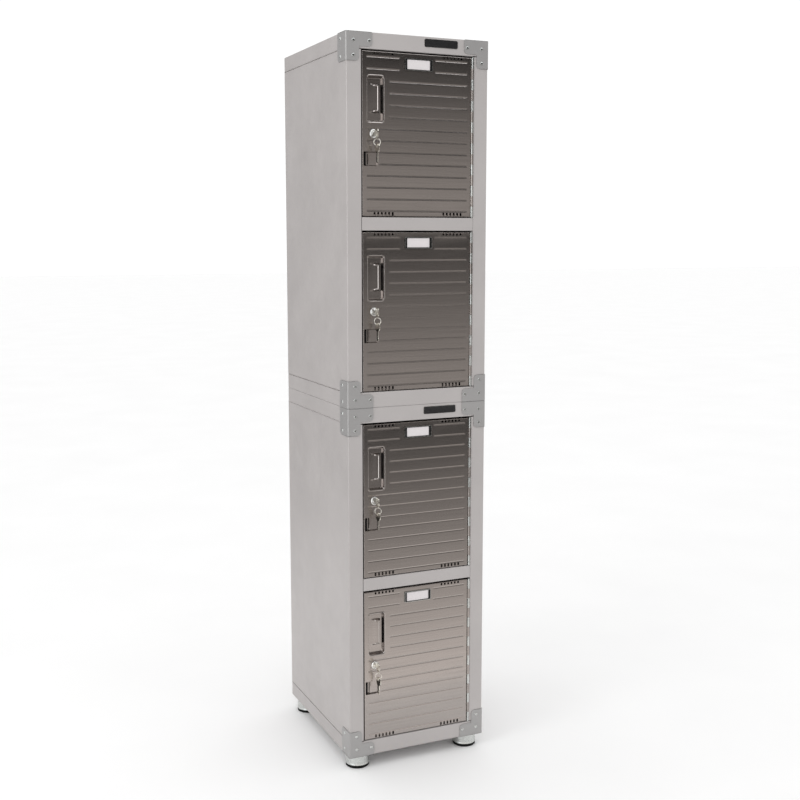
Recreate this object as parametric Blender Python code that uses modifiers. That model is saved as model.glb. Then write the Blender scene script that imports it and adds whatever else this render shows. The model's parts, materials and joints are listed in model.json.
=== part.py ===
"""Steel locker cabinet: two stacked two-door units on four levelling feet.

Run with: blender --background --python part.py
The front faces -Y, +Z is up, and the feet stand on Z = 0. Lengths are in metres.
"""

import math

import bmesh
import bpy
from mathutils import Matrix, Vector

# ---- Overall size -------------------------------------------------------------------------------
WIDTH = 0.381               # over the corner brackets
DEPTH = 0.457               # from the front of the corner brackets to the back
UNIT_HEIGHT = 0.897         # one two-door unit, without feet
FOOT_HEIGHT = 0.0348        # floor to the underside of the lower unit
SHEET = 0.001               # body, door and shelf steel
GAP = 0.0003                # clearance kept between pieces that touch

# ---- Body ---------------------------------------------------------------------------------------
BRACKET_SHEET = 0.0015
BRACKET_LEG = 0.068         # length of a bracket's legs, measured from the cabinet's corner
BRACKET_BAND = 0.034        # width of a bracket's two front legs
BRACKET_SIDE = 0.053        # how far a bracket wraps along the side
BRACKET_ROUND = 0.009       # corner rounding of a bracket's leg ends
ROUND_SEGMENTS = 3
BEND = 0.003                # outer bend radius of the body's vertical corners
BEND_STEPS = 3
OPENING_HALF = 0.1505       # half the width of a door opening
CAP_DEPTH = 0.0385          # height of the cap's and pan's flanges, which are the front rails
SHELF_RAIL = 0.032          # height of the rail between the two doors
STILE_RETURN = 0.020        # how far the stile turns back beside the door
REAR_RETURN = 0.015
JOINT_START = 0.045         # side seam: start behind the front face
JOINT_END = 0.004           # side seam: end before the back face
JOINT_TUCK = 0.016          # how far a side tucks up behind the cap's flange
RAIL_LIP = 0.012            # how far a rail's free edge turns back
SHELF_FLANGE = 0.015
BACK_HALF = 0.1860          # half the width of the back panel
BACK_MARGIN = 0.012         # back panel's edge to the unit's top and bottom

# ---- Doors --------------------------------------------------------------------------------------
DOOR_GAP_SIDE = 0.0028
DOOR_GAP_TOP = 0.004
DOOR_GAP_BOTTOM = 0.002
DOOR_INSET = 0.0015         # base sheet behind the front of the stiles
DOOR_TRAY = 0.0135          # depth of the door's turned-back edges
# Places on a door are measured right of and down from the opening's top left corner.
PULL_LEFT, PULL_RIGHT = 0.0155, 0.0585
PULL_TOP, PULL_BOTTOM = 0.0610, 0.1695
PULL_DEPTH = 0.0105
HOOD_LEFT, HOOD_RIGHT = 0.0240, 0.0465
HOOD_TOP, HOOD_BOTTOM = 0.0775, 0.1475
HOOD_RISE = 0.0070          # height of the finger hood above the pull's floor
HOOD_SLOPE = 0.0060
HOOD_SLIT = 0.0040          # slit beside the hood's free edge
HASP_LEFT, HASP_SLOT_RIGHT, HASP_RIGHT = 0.0060, 0.0130, 0.0430
HASP_TOP, HASP_BOTTOM = 0.2385, 0.2725
HASP_DEPTH = 0.0080

# ---- Hinges -------------------------------------------------------------------------------------
KNUCKLE_COUNT = 15
KNUCKLE_RADIUS = 0.0030
KNUCKLE_BORE = 0.0015
KNUCKLE_STEPS = 8
KNUCKLE_CLOSE = 345         # degrees round the pin where a rolled knuckle meets its web
KNUCKLE_WALL = 0.0010
PIN_RADIUS = 0.00125
PIN_BEHIND_FRONT = 0.0008   # pin axis behind the front of the stiles
LEAF_DEPTH = 0.0160
LEAF_CLEAR = 0.0004         # between a barrel and whatever passes beside it

# ---- Locks --------------------------------------------------------------------------------------
LOCK_RIGHT, LOCK_DOWN = 0.0318, 0.1965
LOCK_STEPS = 16
BEZEL_RADIUS, BEZEL_PROUD, BEZEL_CHAMFER = 0.0105, 0.0040, 0.0010
BARREL_RADIUS, BARREL_END = 0.0084, 0.0195
BORE_RADIUS, PLUG_RADIUS = 0.0056, 0.0052
PLUG_PROUD = 0.0044
TANG_RADIUS, TANG_HOLE = 0.0030, 0.0034
CAM_SHEET = 0.0020
CAM_HEAD, CAM_TAIL, CAM_REACH = 0.0080, 0.0065, 0.0340
CAM_STEPS, BOW_STEPS, HOLE_STEPS = 6, 16, 10
KEY_SHEET = 0.0018
KEY_HALF = 0.0034           # half the height of the key's blade
KEY_TIP = 0.0160            # blade tip behind the door's face
BOW_CENTRE, BOW_RADIUS = 0.0190, 0.0115
BOW_HOLE, BOW_HOLE_AT = 0.0026, 0.0230
STAPLE_SHEET = 0.0015
STAPLE_HEIGHT = 0.026
STAPLE_HOLE = 0.0033

# ---- Feet ---------------------------------------------------------------------------------------
FOOT_RADIUS, FOOT_STEPS = 0.031, 16
FOOT_INSET_SIDE, FOOT_INSET_FRONT, FOOT_INSET_BACK = 0.036, 0.036, 0.042
PAD_HEIGHT, PAD_RADIUS = 0.0070, 0.0300
STEM_RADIUS, STEM_ABOVE = 0.0050, 0.0180
STEM_HOLE = 0.0056

# ---- Worked out from the sizes above ------------------------------------------------------------
BODY_HALF = WIDTH / 2 - BRACKET_SHEET - GAP
KEY_REACH = BOW_CENTRE + BOW_RADIUS - DOOR_INSET
FRONT = (KEY_REACH - (DEPTH - BRACKET_SHEET - GAP)) / 2   # front of the stiles and rails
BACK = FRONT + DEPTH - BRACKET_SHEET - GAP
OPENING_HEIGHT = (UNIT_HEIGHT - 2 * CAP_DEPTH - SHELF_RAIL) / 2
DOOR_FACE = FRONT + DOOR_INSET
PIN_X = OPENING_HALF - GAP - KNUCKLE_RADIUS
PIN_Y = FRONT + PIN_BEHIND_FRONT
DOOR_RIGHT = PIN_X - KNUCKLE_RADIUS - LEAF_CLEAR
LOCK_X = LOCK_RIGHT - OPENING_HALF
UNITS = {"upper": FOOT_HEIGHT + UNIT_HEIGHT, "lower": FOOT_HEIGHT}

# ---- Materials: base colour, metallic, roughness ------------------------------------------------
FINISHES = {
    "body_paint": ((0.45, 0.43, 0.42), 0.10, 0.45),
    "bracket_paint": ((0.30, 0.29, 0.28), 0.35, 0.40),
    "door_paint": ((0.14, 0.12, 0.11), 0.60, 0.35),
    "black_steel": ((0.02, 0.02, 0.02), 0.60, 0.40),
    "bright_zinc": ((0.70, 0.70, 0.68), 1.00, 0.28),
    "lock_chrome": ((0.80, 0.80, 0.78), 1.00, 0.12),
    "key_nickel": ((0.72, 0.69, 0.62), 1.00, 0.25),
    "foot_rubber": ((0.02, 0.02, 0.02), 0.00, 0.80),
}


def clear_scene():
    """Remove every object of the open scene."""
    for thing in list(bpy.data.objects):
        bpy.data.objects.remove(thing, do_unlink=True)


def new_collection(name):
    """Make a collection in the scene."""
    group = bpy.data.collections.new(name)
    bpy.context.scene.collection.children.link(group)
    return group


def paint(finish):
    """Return the Principled material of a finish, made on first use."""
    if finish in bpy.data.materials:
        return bpy.data.materials[finish]
    colour, metallic, roughness = FINISHES[finish]
    material = bpy.data.materials.new(finish)
    material.use_nodes = True
    shader = material.node_tree.nodes["Principled BSDF"]
    shader.inputs["Base Color"].default_value = (*colour, 1.0)
    shader.inputs["Metallic"].default_value = metallic
    shader.inputs["Roughness"].default_value = roughness
    return material


def add_piece(name, bm, finish, origin=(0.0, 0.0, 0.0)):
    """Turn a bmesh in world places into a named piece with its origin at the given point."""
    bmesh.ops.translate(bm, verts=bm.verts, vec=-Vector(origin))
    mesh = bpy.data.meshes.new(name)
    bm.to_mesh(mesh)
    bm.free()
    piece = bpy.data.objects.new(name, mesh)
    piece.location = origin
    mesh.materials.append(paint(finish))
    PARTS.objects.link(piece)
    return piece


def add_cutter(name, bm):
    """Turn a bmesh into a hidden helper for a Boolean."""
    mesh = bpy.data.meshes.new(name)
    bm.to_mesh(mesh)
    bm.free()
    cutter = bpy.data.objects.new(name, mesh)
    cutter.hide_render = True
    cutter.display_type = "WIRE"
    CUTTERS.objects.link(cutter)
    return cutter


def solidify(piece, thickness):
    """Give an open sheet its thickness, behind its outer face."""
    modifier = piece.modifiers.new("sheet", "SOLIDIFY")
    modifier.thickness = thickness
    modifier.offset = -1.0
    modifier.use_even_offset = True


def boolean(piece, operand, operation):
    """Cut a helper out of a piece, or join it to the piece."""
    modifier = piece.modifiers.new(operation.lower(), "BOOLEAN")
    modifier.object = operand
    modifier.operation = operation
    modifier.solver = "EXACT"


def attach(child, parent):
    """Parent a piece without moving it."""
    bpy.context.view_layer.update()
    child.parent = parent
    child.matrix_parent_inverse = parent.matrix_world.inverted()


# ---- Shape helpers ------------------------------------------------------------------------------
def arc(centre, radius, start, end, steps):
    """Points on an arc, from a start to an end angle in degrees."""
    points = []
    for step in range(steps + 1):
        angle = math.radians(start + (end - start) * step / steps)
        points.append((centre[0] + radius * math.cos(angle), centre[1] + radius * math.sin(angle)))
    return points


def strip(points, levels):
    """Open sheet that follows a plan line of points, ruled through a list of heights."""
    bm = bmesh.new()
    verts = [bm.verts.new((x, y, levels[0])) for x, y in points]
    edges = [bm.edges.new(pair) for pair in zip(verts, verts[1:])]
    for low, high in zip(levels, levels[1:]):
        edges = fold(bm, edges, (0.0, 0.0, high - low))
    return bm


def fold(bm, edges, offset):
    """Extend a sheet from some of its edges, and return the new free edges."""
    made = bmesh.ops.extrude_edge_only(bm, edges=edges)["geom"]
    verts = [item for item in made if isinstance(item, bmesh.types.BMVert)]
    bmesh.ops.translate(bm, verts=verts, vec=offset)
    moved = set(verts)
    return [item for item in made if isinstance(item, bmesh.types.BMEdge) and set(item.verts) <= moved]


def edges_where(bm, test):
    """Free edges of a sheet whose two ends pass a test."""
    return [edge for edge in bm.edges if edge.is_boundary and all(test(v.co) for v in edge.verts)]


def near(value, target):
    """Whether two lengths are the same to a hundredth of a millimetre."""
    return abs(value - target) < 1e-5


def face_outward(bm, direction):
    """Turn a sheet's faces so that its largest face across a direction looks that way."""
    bmesh.ops.recalc_face_normals(bm, faces=bm.faces)
    bm.normal_update()
    toward = Vector(direction)
    across = [face for face in bm.faces if abs(face.normal.dot(toward)) > 0.9]
    if max(across, key=lambda face: face.calc_area()).normal.dot(toward) < 0:
        bmesh.ops.reverse_faces(bm, faces=bm.faces)


def round_corners(bm, places, radius):
    """Round a flat sheet's outline at its vertices nearest to the given places."""
    corners = [min(bm.verts, key=lambda v: (v.co - Vector(place)).length) for place in places]
    bmesh.ops.bevel(bm, geom=corners, offset=radius, segments=ROUND_SEGMENTS, profile=0.5,
                     affect="VERTICES")


def plate(outlines, thickness, matrix):
    """Flat plate from closed outlines in its own XY plane, placed by a matrix."""
    curve = bpy.data.curves.new("outline", "CURVE")
    curve.dimensions = "2D"
    curve.fill_mode = "BOTH"
    curve.extrude = thickness / 2
    for outline in outlines:
        spline = curve.splines.new("POLY")
        spline.points.add(len(outline) - 1)
        for point, (x, y) in zip(spline.points, outline):
            point.co = (x, y, 0.0, 1.0)
        spline.use_cyclic_u = True
    holder = bpy.data.objects.new("outline", curve)
    CUTTERS.objects.link(holder)
    evaluated = holder.evaluated_get(bpy.context.evaluated_depsgraph_get())
    mesh = bpy.data.meshes.new_from_object(evaluated)
    bm = bmesh.new()
    bm.from_mesh(mesh)
    bmesh.ops.remove_doubles(bm, verts=bm.verts, dist=1e-6)
    bmesh.ops.recalc_face_normals(bm, faces=bm.faces)
    bmesh.ops.transform(bm, matrix=matrix, verts=bm.verts)
    bpy.data.objects.remove(holder, do_unlink=True)
    bpy.data.meshes.remove(mesh)
    return bm


def cylinder(radius, length, steps, matrix):
    """Closed cylinder along its own Z, centred and placed by a matrix."""
    bm = bmesh.new()
    bmesh.ops.create_cone(bm, cap_ends=True, segments=steps, radius1=radius, radius2=radius,
                          depth=length, matrix=matrix)
    return bm


def block(low, high):
    """Closed box between two corners."""
    bm = bmesh.new()
    size = Vector(high) - Vector(low)
    middle = (Vector(high) + Vector(low)) / 2
    bmesh.ops.create_cube(bm, size=1.0, matrix=Matrix.Translation(middle) @ Matrix.Diagonal((*size, 1.0)))
    return bm


def merge(parts):
    """Put several bmeshes into one."""
    bm = bmesh.new()
    for part in parts:
        mesh = bpy.data.meshes.new("part")
        part.to_mesh(mesh)
        part.free()
        bm.from_mesh(mesh)
        bpy.data.meshes.remove(mesh)
    return bm


def turned(name, profile, closed, finish, origin, steps, along_y):
    """Piece turned from a profile of (radius, height) points with a Screw modifier."""
    bm = bmesh.new()
    verts = [bm.verts.new((radius, 0.0, height)) for radius, height in profile]
    for pair in zip(verts, verts[1:]):
        bm.edges.new(pair)
    if closed:
        bm.edges.new((verts[-1], verts[0]))
    piece = add_piece(name, bm, finish)
    piece.location = origin
    if along_y:
        piece.rotation_euler = (math.pi / 2, 0.0, 0.0)
    modifier = piece.modifiers.new("turn", "SCREW")
    modifier.steps = steps
    modifier.render_steps = steps
    modifier.use_merge_vertices = True
    modifier.merge_threshold = 0.00001
    modifier.use_smooth_shade = True
    return piece


# ---- Body ---------------------------------------------------------------------------------------
def side_plan():
    """Outer plan line of the left side: stile return, stile, bend, wall and rear return."""
    left = -BODY_HALF
    line = [(-OPENING_HALF, FRONT + STILE_RETURN), (-OPENING_HALF, FRONT)]
    line += arc((left + BEND, FRONT + BEND), BEND, 270, 180, BEND_STEPS)
    line += [(left, FRONT + JOINT_START), (left, BACK - JOINT_END), (left, BACK)]
    line += [(left + REAR_RETURN, BACK)]
    return line


def make_side(unit, base, name, sign):
    """A side with its front stile, tucked in behind the flanges of the cap and the pan."""
    step = SHEET + GAP
    low = base + CAP_DEPTH + GAP + step
    high = base + UNIT_HEIGHT - CAP_DEPTH - GAP - step
    bm = strip(side_plan(), [low, high])
    for level, way in ((low, -1), (high, 1)):
        seam = edges_where(bm, lambda co: near(co.z, level) and near(co.x, -BODY_HALF)
                           and FRONT + JOINT_START - 1e-5 < co.y < BACK - JOINT_END + 1e-5)
        seam = fold(bm, seam, (step, 0.0, way * step))
        fold(bm, seam, (0.0, 0.0, way * JOINT_TUCK))
    bmesh.ops.scale(bm, vec=(sign, 1.0, 1.0), verts=bm.verts)
    face_outward(bm, (sign * -1.0, 0.0, 0.0))
    solidify(add_piece(f"{unit}_{name}", bm, "body_paint"), SHEET)


def pan_plan():
    """Closed plan outline of the cap and the pan, with the ends of the front lip marked."""
    lip = OPENING_HALF - SHEET
    line = [(-lip, FRONT), (lip, FRONT)]
    line += arc((BODY_HALF - BEND, FRONT + BEND), BEND, 270, 360, BEND_STEPS)
    line += arc((BODY_HALF - BEND, BACK - BEND), BEND, 0, 90, BEND_STEPS)
    line += arc((-BODY_HALF + BEND, BACK - BEND), BEND, 90, 180, BEND_STEPS)
    line += arc((-BODY_HALF + BEND, FRONT + BEND), BEND, 180, 270, BEND_STEPS)
    return line


def make_pan(name, level, way):
    """Deck at a level with flanges that run down (way -1) or up (way 1), and a front lip."""
    bm = bmesh.new()
    bm.faces.new([bm.verts.new((x, y, level)) for x, y in pan_plan()])
    rim = fold(bm, list(bm.edges), (0.0, 0.0, way * CAP_DEPTH))
    lip = OPENING_HALF - SHEET + 1e-5
    front = [edge for edge in rim
             if all(near(v.co.y, FRONT) and abs(v.co.x) < lip for v in edge.verts)]
    fold(bm, front, (0.0, RAIL_LIP, 0.0))
    face_outward(bm, (0.0, 0.0, -way))
    piece = add_piece(name, bm, "body_paint")
    solidify(piece, SHEET)
    return piece


def make_back(unit, base):
    """Flat back panel inside the returns and the flanges."""
    rear = BACK - SHEET - GAP
    low = (-BACK_HALF, rear - SHEET, base + BACK_MARGIN)
    high = (BACK_HALF, rear, base + UNIT_HEIGHT - BACK_MARGIN)
    add_piece(f"{unit}_back_panel", block(low, high), "body_paint")


def make_shelf(unit, base):
    """Fixed shelf whose front flange is the rail between the doors."""
    level = base + CAP_DEPTH + OPENING_HEIGHT + SHELF_RAIL
    narrow = OPENING_HALF - GAP
    wide = BODY_HALF - SHEET - GAP
    notch = FRONT + STILE_RETURN + GAP
    rear = BACK - 2 * (SHEET + GAP)
    plan = [(-narrow, FRONT), (narrow, FRONT), (narrow, notch), (wide, notch),
            (wide, rear), (-wide, rear), (-wide, notch), (-narrow, notch)]
    bm = bmesh.new()
    bm.faces.new([bm.verts.new((x, y, level)) for x, y in plan])
    front = edges_where(bm, lambda co: near(co.y, FRONT))
    sides = edges_where(bm, lambda co: near(abs(co.x), wide) and co.y > notch - 1e-5)
    front = fold(bm, front, (0.0, 0.0, -SHELF_RAIL))
    fold(bm, front, (0.0, RAIL_LIP, 0.0))
    fold(bm, sides, (0.0, 0.0, -SHELF_FLANGE))
    face_outward(bm, (0.0, 0.0, 1.0))
    solidify(add_piece(f"{unit}_shelf", bm, "body_paint"), SHEET)


def make_bracket(name, base, x_sign, at_top):
    """Corner bracket: an L on the front that wraps round onto the side."""
    left = -WIDTH / 2
    front = FRONT - GAP - BRACKET_SHEET
    bend = BEND + GAP + BRACKET_SHEET
    line = [(left, front + BRACKET_SIDE)]
    line += arc((left + bend, front + bend), bend, 180, 270, BEND_STEPS)
    line += [(left + BRACKET_BAND, front)]
    bm = strip(line, [0.0, -BRACKET_BAND, -BRACKET_LEG])
    inner = left + BRACKET_BAND
    leg = edges_where(bm, lambda co: near(co.x, inner) and co.z > -BRACKET_BAND - 1e-5)
    fold(bm, leg, (BRACKET_LEG - BRACKET_BAND, 0.0, 0.0))
    ends = [(left, front + BRACKET_SIDE, -BRACKET_LEG), (inner, front, -BRACKET_LEG),
            (left + BRACKET_LEG, front, -BRACKET_BAND)]
    round_corners(bm, ends, BRACKET_ROUND)
    bmesh.ops.scale(bm, vec=(x_sign, 1.0, 1.0 if at_top else -1.0), verts=bm.verts)
    bmesh.ops.translate(bm, verts=bm.verts, vec=(0.0, 0.0, base + (UNIT_HEIGHT if at_top else 0.0)))
    face_outward(bm, (0.0, -1.0, 0.0))
    solidify(add_piece(name, bm, "bracket_paint"), BRACKET_SHEET)


def foot_places():
    """Name and plan place of each foot."""
    side = WIDTH / 2 - FOOT_INSET_SIDE
    front = FRONT + FOOT_INSET_FRONT
    rear = BACK - FOOT_INSET_BACK
    return {"front_left": (-side, front), "front_right": (side, front),
            "rear_left": (-side, rear), "rear_right": (side, rear)}


def make_unit(unit, base):
    """The fixed pieces of one two-door unit."""
    make_side(unit, base, "left_side", 1.0)
    make_side(unit, base, "right_side", -1.0)
    make_pan(f"{unit}_top_cap", base + UNIT_HEIGHT, -1)
    pan = make_pan(f"{unit}_bottom_pan", base, 1)
    if unit == "lower":
        holes = [cylinder(STEM_HOLE, 4 * SHEET, FOOT_STEPS, Matrix.Translation((x, y, base)))
                 for x, y in foot_places().values()]
        boolean(pan, add_cutter("stem_holes", merge(holes)), "DIFFERENCE")
    make_back(unit, base)
    make_shelf(unit, base)
    for row, at_top in (("top", True), ("bottom", False)):
        for side, sign in (("left", 1.0), ("right", -1.0)):
            make_bracket(f"{unit}_bracket_{row}_{side}", base, sign, at_top)


# ---- Doors --------------------------------------------------------------------------------------
def faces_between(bm, x_range, z_range):
    """Faces of the door's front whose centres lie between two X and two Z places."""
    found = []
    for face in bm.faces:
        centre = face.calc_center_median()
        if x_range[0] < centre.x < x_range[1] and z_range[0] < centre.z < z_range[1]:
            found.append(face)
    return found


def press(bm, faces, depth):
    """Press a patch of a sheet back by a depth, with walls round it, and return its vertices."""
    made = bmesh.ops.extrude_face_region(bm, geom=faces)["geom"]
    verts = [item for item in made if isinstance(item, bmesh.types.BMVert)]
    bmesh.ops.translate(bm, verts=verts, vec=(0.0, depth, 0.0))
    left_over = [face for face in faces if face.is_valid]
    bmesh.ops.delete(bm, geom=left_over, context="FACES")
    return verts


def door_sheet(top):
    """Outer face of a door with its pull, finger hood, padlock recess and turned-back edges."""
    def across(place):
        return place - OPENING_HALF

    def down(place):
        return top - place

    columns = [DOOR_GAP_SIDE, HASP_LEFT, HASP_SLOT_RIGHT, PULL_LEFT, HOOD_LEFT, HASP_RIGHT,
               HOOD_RIGHT, HOOD_RIGHT + HOOD_SLIT, PULL_RIGHT]
    rows = [DOOR_GAP_TOP, PULL_TOP, HOOD_TOP, HOOD_BOTTOM, PULL_BOTTOM, HASP_TOP, HASP_BOTTOM,
            OPENING_HEIGHT - DOOR_GAP_BOTTOM]
    line = [(across(x), DOOR_FACE) for x in columns] + [(DOOR_RIGHT, DOOR_FACE)]
    bm = strip(line, [down(z) for z in rows])
    edge = edges_where(bm, lambda co: True)

    pull = faces_between(bm, (across(PULL_LEFT), across(PULL_RIGHT)), (down(PULL_BOTTOM), down(PULL_TOP)))
    press(bm, pull, PULL_DEPTH)
    recess = faces_between(bm, (across(HASP_LEFT), across(HASP_RIGHT)), (down(HASP_BOTTOM), down(HASP_TOP)))
    press(bm, recess, HASP_DEPTH)
    slot = faces_between(bm, (across(HASP_LEFT), across(HASP_SLOT_RIGHT)),
                         (down(HASP_BOTTOM), down(HASP_TOP)))
    bmesh.ops.delete(bm, geom=floors(slot), context="FACES")

    hood_rows = (down(HOOD_BOTTOM), down(HOOD_TOP))
    slit = faces_between(bm, (across(HOOD_RIGHT), across(HOOD_RIGHT + HOOD_SLIT)), hood_rows)
    bmesh.ops.delete(bm, geom=floors(slit), context="FACES")
    hood = floors(faces_between(bm, (across(HOOD_LEFT), across(HOOD_RIGHT)), hood_rows))
    raised = press(bm, hood, -HOOD_RISE)
    for vert in raised:
        if near(vert.co.x, across(HOOD_LEFT)):
            vert.co.x += HOOD_SLOPE
        vert.co.z += HOOD_SLOPE / 2 * (1 if vert.co.z < sum(hood_rows) / 2 else -1)
    open_side = [face for face in bm.faces if all(near(v.co.x, across(HOOD_RIGHT)) for v in face.verts)
                 and down(HOOD_BOTTOM) - 1e-5 < face.calc_center_median().z < down(HOOD_TOP)]
    bmesh.ops.delete(bm, geom=open_side, context="FACES")

    fold(bm, edge, (0.0, DOOR_TRAY, 0.0))
    bmesh.ops.dissolve_degenerate(bm, dist=1e-6, edges=bm.edges)
    face_outward(bm, (0.0, -1.0, 0.0))
    return bm


def floors(faces):
    """The faces among some that look along Y."""
    for face in faces:
        face.normal_update()
    return [face for face in faces if abs(face.normal.y) > 0.9]


def knuckle_outline(sign, web, tail):
    """Rolled hinge knuckle with a tangent web on its right (sign 1) or left (sign -1)."""
    inner = KNUCKLE_RADIUS - KNUCKLE_WALL
    start = math.degrees(math.acos(inner / KNUCKLE_RADIUS))
    rim = arc((0.0, 0.0), KNUCKLE_RADIUS, start, KNUCKLE_CLOSE, KNUCKLE_STEPS)
    outline = rim + [(web, rim[-1][1]), (web, tail), (inner, tail)]
    bore = arc((0.0, 0.0), KNUCKLE_BORE, 0, 360, KNUCKLE_STEPS)[:-1]
    return [[(sign * x, y) for x, y in loop] for loop in (outline, bore)]


def knuckles(top, first, sign, web, tail):
    """Every second knuckle of a hinge, beginning with a given one from the top."""
    pitch = (OPENING_HEIGHT - DOOR_GAP_TOP - DOOR_GAP_BOTTOM) / KNUCKLE_COUNT
    made = []
    for index in range(first, KNUCKLE_COUNT, 2):
        middle = top - DOOR_GAP_TOP - (index + 0.5) * pitch
        place = Matrix.Translation((PIN_X, PIN_Y, middle))
        made.append(plate(knuckle_outline(sign, web, tail), pitch - GAP, place))
    return merge(made)


def make_hinge(door, top):
    """Frame leaf and pin of a door's continuous hinge."""
    low = top - OPENING_HEIGHT + DOOR_GAP_BOTTOM
    high = top - DOOR_GAP_TOP
    outer = PIN_X + KNUCKLE_RADIUS
    tail_start = PIN_Y + KNUCKLE_RADIUS + LEAF_CLEAR
    leaf = add_piece(f"{door}_hinge_leaf", block((outer - KNUCKLE_WALL, tail_start, low + GAP),
                                                 (outer, PIN_Y + LEAF_DEPTH, high - GAP)), "bright_zinc")
    rolled = knuckles(top, 0, 1, KNUCKLE_RADIUS + 0.5 * GAP, KNUCKLE_RADIUS + 4 * LEAF_CLEAR)
    boolean(leaf, add_cutter(f"{door}_frame_knuckles", rolled), "UNION")
    pin_place = Matrix.Translation((PIN_X, PIN_Y, (low + high) / 2))
    pin = cylinder(PIN_RADIUS, high - low + 4 * GAP, KNUCKLE_STEPS, pin_place)
    add_piece(f"{door}_hinge_pin", pin, "bright_zinc", (PIN_X, PIN_Y, low))


def make_door(door, top):
    """A door tray with its hinge knuckles and its lock hole, with its origin on the hinge pin."""
    origin = (PIN_X, PIN_Y, top - OPENING_HEIGHT)
    piece = add_piece(door, door_sheet(top), "door_paint", origin)
    solidify(piece, SHEET)
    upright = Matrix.Rotation(math.pi / 2, 4, "X")
    lock_place = Matrix.Translation((LOCK_X, DOOR_FACE, top - LOCK_DOWN)) @ upright
    hole = cylinder(BARREL_RADIUS + GAP, 6 * SHEET, LOCK_STEPS, lock_place)
    boolean(piece, add_cutter(f"{door}_lock_hole", hole), "DIFFERENCE")
    web = KNUCKLE_RADIUS + LEAF_CLEAR + SHEET / 2
    rolled = knuckles(top, 1, -1, web, KNUCKLE_RADIUS + 2 * KNUCKLE_WALL)
    boolean(piece, add_cutter(f"{door}_knuckles", rolled), "UNION")
    return piece


def cam_outline():
    """Lock cam hanging down from its tang, with the tang's hole."""
    outline = arc((0.0, 0.0), CAM_HEAD, 0, 180, CAM_STEPS)
    outline += arc((0.0, -CAM_REACH), CAM_TAIL, 180, 360, CAM_STEPS)
    return [outline, arc((0.0, 0.0), TANG_HOLE, 0, 360, HOLE_STEPS)[:-1]]


def key_outline():
    """Key with a straight blade and a round bow; +X is out of the lock."""
    meet = math.degrees(math.asin(KEY_HALF / BOW_RADIUS))
    outline = [(-KEY_TIP, 0.0), (-KEY_TIP + KEY_HALF / 2, -KEY_HALF)]
    outline += arc((BOW_CENTRE, 0.0), BOW_RADIUS, meet - 180, 180 - meet, BOW_STEPS)
    outline += [(-KEY_TIP + KEY_HALF / 2, KEY_HALF)]
    return [outline, arc((BOW_HOLE_AT, 0.0), BOW_HOLE, 0, 360, HOLE_STEPS)[:-1]]


def make_lock(door, piece, top):
    """Cam lock in a door: housing on the door; plug, key and cam on the lock's own axis."""
    origin = (LOCK_X, DOOR_FACE, top - LOCK_DOWN)
    housing = [(BORE_RADIUS, BEZEL_PROUD), (BEZEL_RADIUS - BEZEL_CHAMFER, BEZEL_PROUD),
               (BEZEL_RADIUS, BEZEL_PROUD - BEZEL_CHAMFER), (BEZEL_RADIUS, GAP), (BARREL_RADIUS, GAP),
               (BARREL_RADIUS, -BARREL_END), (BORE_RADIUS, -BARREL_END)]
    body = turned(f"{door}_lock_body", housing, True, "lock_chrome", origin, LOCK_STEPS, True)
    attach(body, piece)

    cam_front = BARREL_END + 2 * GAP
    cam_back = cam_front + CAM_SHEET
    shaft = [(0.0, PLUG_PROUD), (PLUG_RADIUS, PLUG_PROUD), (PLUG_RADIUS, -cam_front + GAP),
             (TANG_RADIUS, -cam_front + GAP), (TANG_RADIUS, -cam_back), (0.0, -cam_back)]
    plug = turned(f"{door}_lock_plug", shaft, False, "lock_chrome", origin, LOCK_STEPS, True)
    half = KEY_SHEET / 2 + GAP
    tall = KEY_HALF + GAP
    keyway = block((origin[0] - half, origin[1] - 2 * PLUG_PROUD, origin[2] - tall),
                   (origin[0] + half, origin[1] + KEY_TIP + GAP, origin[2] + tall))
    boolean(plug, add_cutter(f"{door}_keyway", keyway), "DIFFERENCE")
    attach(plug, piece)

    upright = Matrix.Rotation(math.pi / 2, 4, "X")
    cam_place = Matrix.Translation((origin[0], origin[1] + cam_front + CAM_SHEET / 2, origin[2])) @ upright
    cam = add_piece(f"{door}_cam", plate(cam_outline(), CAM_SHEET, cam_place), "bright_zinc", origin)
    attach(cam, plug)
    outward = Matrix(((0.0, 0.0, 1.0), (-1.0, 0.0, 0.0), (0.0, -1.0, 0.0)))
    key_place = Matrix.Translation(origin) @ outward.to_4x4()
    key = add_piece(f"{door}_key", plate(key_outline(), KEY_SHEET, key_place), "key_nickel", origin)
    attach(key, plug)


def make_staple(door, top):
    """Fixed padlock staple that reaches from behind the stile through the door's slot."""
    behind = -OPENING_HALF - SHEET - GAP
    tab = -OPENING_HALF + (HASP_LEFT + HASP_SLOT_RIGHT) / 2 + STAPLE_SHEET / 2
    across = FRONT + STILE_RETURN + GAP + STAPLE_SHEET
    middle = top - (HASP_TOP + HASP_BOTTOM) / 2
    line = [(behind - STAPLE_SHEET, FRONT + 4 * SHEET), (behind - STAPLE_SHEET, across),
            (tab, across), (tab, FRONT + GAP)]
    bm = strip(line, [middle - STAPLE_HEIGHT / 2, middle + STAPLE_HEIGHT / 2])
    face_outward(bm, (0.0, 1.0, 0.0))
    staple = add_piece(f"{door}_staple", bm, "black_steel")
    solidify(staple, STAPLE_SHEET)
    centre = (tab, FRONT + 2 * STAPLE_HOLE, middle)
    along_x = Matrix.Translation(centre) @ Matrix.Rotation(math.pi / 2, 4, "Y")
    hole = cylinder(STAPLE_HOLE, 6 * STAPLE_SHEET, HOLE_STEPS, along_x)
    boolean(staple, add_cutter(f"{door}_staple_hole", hole), "DIFFERENCE")


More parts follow.
